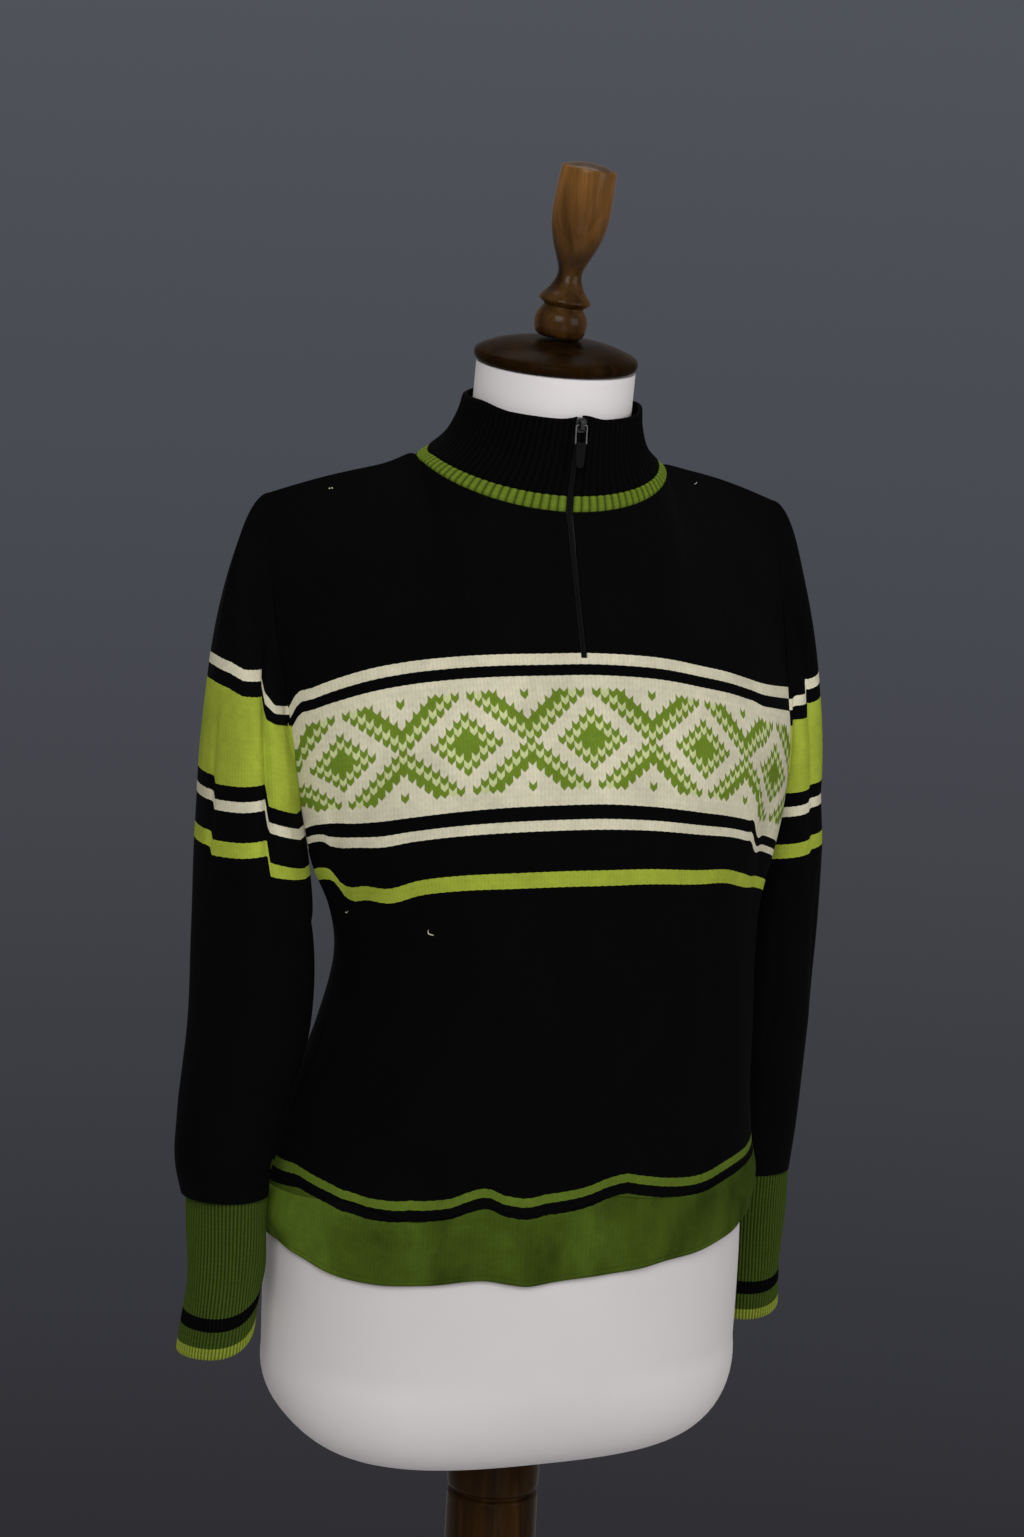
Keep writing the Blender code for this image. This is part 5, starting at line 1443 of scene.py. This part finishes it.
def garment():
    """All knitted pieces."""
    front = panel("front", knit_material("front_knit", "black", BODY_STRIPES, patterned=True))
    back = panel("back", knit_material("back_knit", "black", BODY_STRIPES, patterned=True))
    line = ((HEM_LINE, 260.0, "black"),)
    hem = hem_band(knit_material("hem_knit", "hem", line, blotched=0.42, painted_light_end=0.7))
    right = knit_material("sleeve_right_knit", "black", SLEEVE_STRIPES)
    left = knit_material("sleeve_left_knit", "black", SLEEVE_STRIPES)
    limbs = [
        sleeve("sleeve_right", -1, RIGHT_SLEEVE, RIGHT_CREASES, right_sleeve_knit, right),
        sleeve("sleeve_left", 1, LEFT_SLEEVE, LEFT_CREASES, left_sleeve_knit, left),
        cuff("cuff_right", -1, RIGHT_CUFF, rib_material("cuff_right_rib", "cuff", 0.45, CUFF_STRIPES)),
        cuff("cuff_left", 1, LEFT_CUFF, rib_material("cuff_left_rib", "cuff", 0.45, CUFF_STRIPES)),
    ]
    trim_rib = rib_material("trim_rib", "trim", 0.12, narrow=0.3)
    trim_top = TRIM_TOP - TRIM_GAP_SHARE
    trim = collar_band("trim_rib", "collar_trim", TRIM_FOOT_SHARE, trim_top, 12, TRIM_SLOT, 0.6, trim_rib)
    collar_rib = rib_material("collar_rib", "black", 0.5)
    collar = collar_band("collar_rib", "collar", TRIM_TOP, 1.0, 40, ZIP_HALF + SEAM_GAP, 0.9, collar_rib)


def fittings(frame):
    """The zip and its pull."""
    zip_chain(strap_material("zip_coil", (0.0058, 0.0058, 0.0062)))
    finishes = {
        "zip_slider": metal_material("slider_metal", (0.085, 0.085, 0.09), 0.32),
        "pull_loop": metal_material("loop_metal", (0.30, 0.29, 0.28), 0.2),
        "pull_tab": strap_material("tab_strap", (0.006, 0.006, 0.0065)),
    }
    for node, material in finishes.items():
        item = frame["nodes"][node]
        item.data.materials.clear()
        item.data.materials.append(material)
        bevel = item.modifiers.new("edges", "BEVEL")
        bevel.width = 0.00025
        bevel.segments = 2
        bevel.limit_method = "ANGLE"
        bevel.angle_limit = math.radians(40.0)


def form_and_stand():
    """Dress form, its turned wood and the stand."""
    torso = form_torso(cover_material())
    cap_wood = wood_material("cap_wood", 0.13, gloss=0.01, coat=0.0)
    finial_wood = wood_material("finial_wood", 1.12, paler=(856.0, 906.0), gloss=0.05, coat=0.14, dull=0.16)
    post_wood = wood_material("post_wood", 0.26, gloss=0.04, coat=0.03)
    base_wood = wood_material("base_wood", 0.7, (0.12, 1.0, 1.0))
    turned("cap_turned", "neck_cap", CAP_PROFILE, 128, cap_wood, CAP_FOOT, NECK_LEAN)
    turned("finial_turned", "finial", FINIAL_PROFILE, 96, finial_wood, FINIAL_FOOT, NECK_LEAN,
           FINIAL_SIDE_LEAN)
    turned("post_turned", "post", POST_PROFILE, 96, post_wood)
    turned("base_turned", "base", BASE_PROFILE, 160, base_wood)


def stage():
    """Pale floor round the stand."""
    turn = around(96)
    edge = FLOOR_REACH * np.stack([np.cos(turn), np.sin(turn), np.zeros_like(turn)], -1)
    skin = Skin()
    skin.tube([edge + np.array([0.0, 0.0, height]) for height in (FLOOR - 6.0, FLOOR - 0.5)])
    floor = skin.object("floor", floor_material(), 30.0)


def lamp(name, at, aim, size, power):
    """A soft square light aimed at a point."""
    data = bpy.data.lights.new(name, "AREA")
    data.shape = "SQUARE"
    data.size = size
    data.energy = power
    item = in_scene(name, data)
    item.location = at
    item.rotation_euler = (Vector(aim) - Vector(at)).to_track_quat("-Z", "Y").to_euler()


def lights():
    """Soft studio light, and a background for the camera with painted shade that darkens it towards the
    bottom.
    """
    chest = (0.0, 0.0, 1.30)
    lamp("key", (-1.5, -2.6, 2.9), chest, 1.8, 62.0)
    lamp("fill", (1.9, -2.2, 2.1), chest, 1.8, 26.0)
    lamp("top", (0.1, 0.6, 3.2), chest, 1.4, 16.0)
    lamp("low", (-0.4, -2.6, 0.35), (0.0, 0.0, 0.9), 1.6, 4.0)
    world = bpy.data.worlds.new("studio")
    bpy.context.scene.world = world
    world.use_nodes = True
    tree = world.node_tree
    tree.nodes.clear()
    kinds = ("OutputWorld", "MixShader", "LightPath", "Background", "Background", "TexCoord", "SeparateXYZ",
             "MapRange", "ValToRGB")
    nodes = [tree.nodes.new("ShaderNode" + kind) for kind in kinds]
    output, mixer, path, soft, backdrop_with_painted_shade, spot, split, span, ramp = nodes
    # Painted shade: the background that the camera sees grows darker toward the bottom.
    settle(soft, {0: (1.0, 0.98, 0.97, 1.0), 1: 0.24})
    settle(span, {"From Min": -0.375, "From Max": 0.06})
    low, high = ramp.color_ramp.elements
    low.color = (0.0275, 0.0270, 0.0325, 1.0)
    high.color = (0.080, 0.0865, 0.104, 1.0)
    middle = ramp.color_ramp.elements.new(0.47)
    middle.color = (0.0570, 0.0600, 0.0710, 1.0)
    for source, target in (
        (spot.outputs["Generated"], split.inputs[0]),
        (split.outputs[2], span.inputs["Value"]),
        (span.outputs[0], ramp.inputs[0]),
        (ramp.outputs[0], backdrop_with_painted_shade.inputs[0]),
        (path.outputs["Is Camera Ray"], mixer.inputs[0]),
        (soft.outputs[0], mixer.inputs[1]),
        (backdrop_with_painted_shade.outputs[0], mixer.inputs[2]),
        (mixer.outputs[0], output.inputs[0]),
    ):
        tree.links.new(source, target)
    bpy.context.scene.view_settings.view_transform = "Standard"


def camera():
    """The photo's camera."""
    turn = math.radians(CAMERA_TURN)
    pitch = math.radians(CAMERA_PITCH)
    roll = math.radians(CAMERA_ROLL)
    ahead = Vector((-math.sin(turn), math.cos(turn), 0.0))
    across = Vector((math.cos(turn), math.sin(turn), 0.0))
    level = math.cos(CAMERA_YAW) * ahead - math.sin(CAMERA_YAW) * across
    right_level = math.cos(CAMERA_YAW) * across + math.sin(CAMERA_YAW) * ahead
    up_axis = Vector((0.0, 0.0, 1.0))
    forward = math.cos(pitch) * level - math.sin(pitch) * up_axis
    upright = math.cos(pitch) * up_axis + math.sin(pitch) * level
    right = math.cos(roll) * right_level + math.sin(roll) * upright
    up = math.cos(roll) * upright - math.sin(roll) * right_level
    data = bpy.data.cameras.new("camera")
    data.sensor_width = SENSOR
    data.lens = SENSOR * FOCAL / FRAME_TALL
    item = in_scene("camera", data)
    frame = Matrix((right, up, -forward)).transposed().to_4x4()
    aside = CAMERA_DISTANCE * math.sin(turn)
    behind = -CAMERA_DISTANCE * math.cos(turn)
    frame.translation = (aside, behind, GROOVE + CAMERA_HEIGHT)
    item.matrix_world = frame
    bpy.context.scene.camera = item


def build():
    """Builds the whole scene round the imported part."""
    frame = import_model()
    camera()
    garment()
    fittings(frame)
    form_and_stand()
    stage()
    lights()


build()
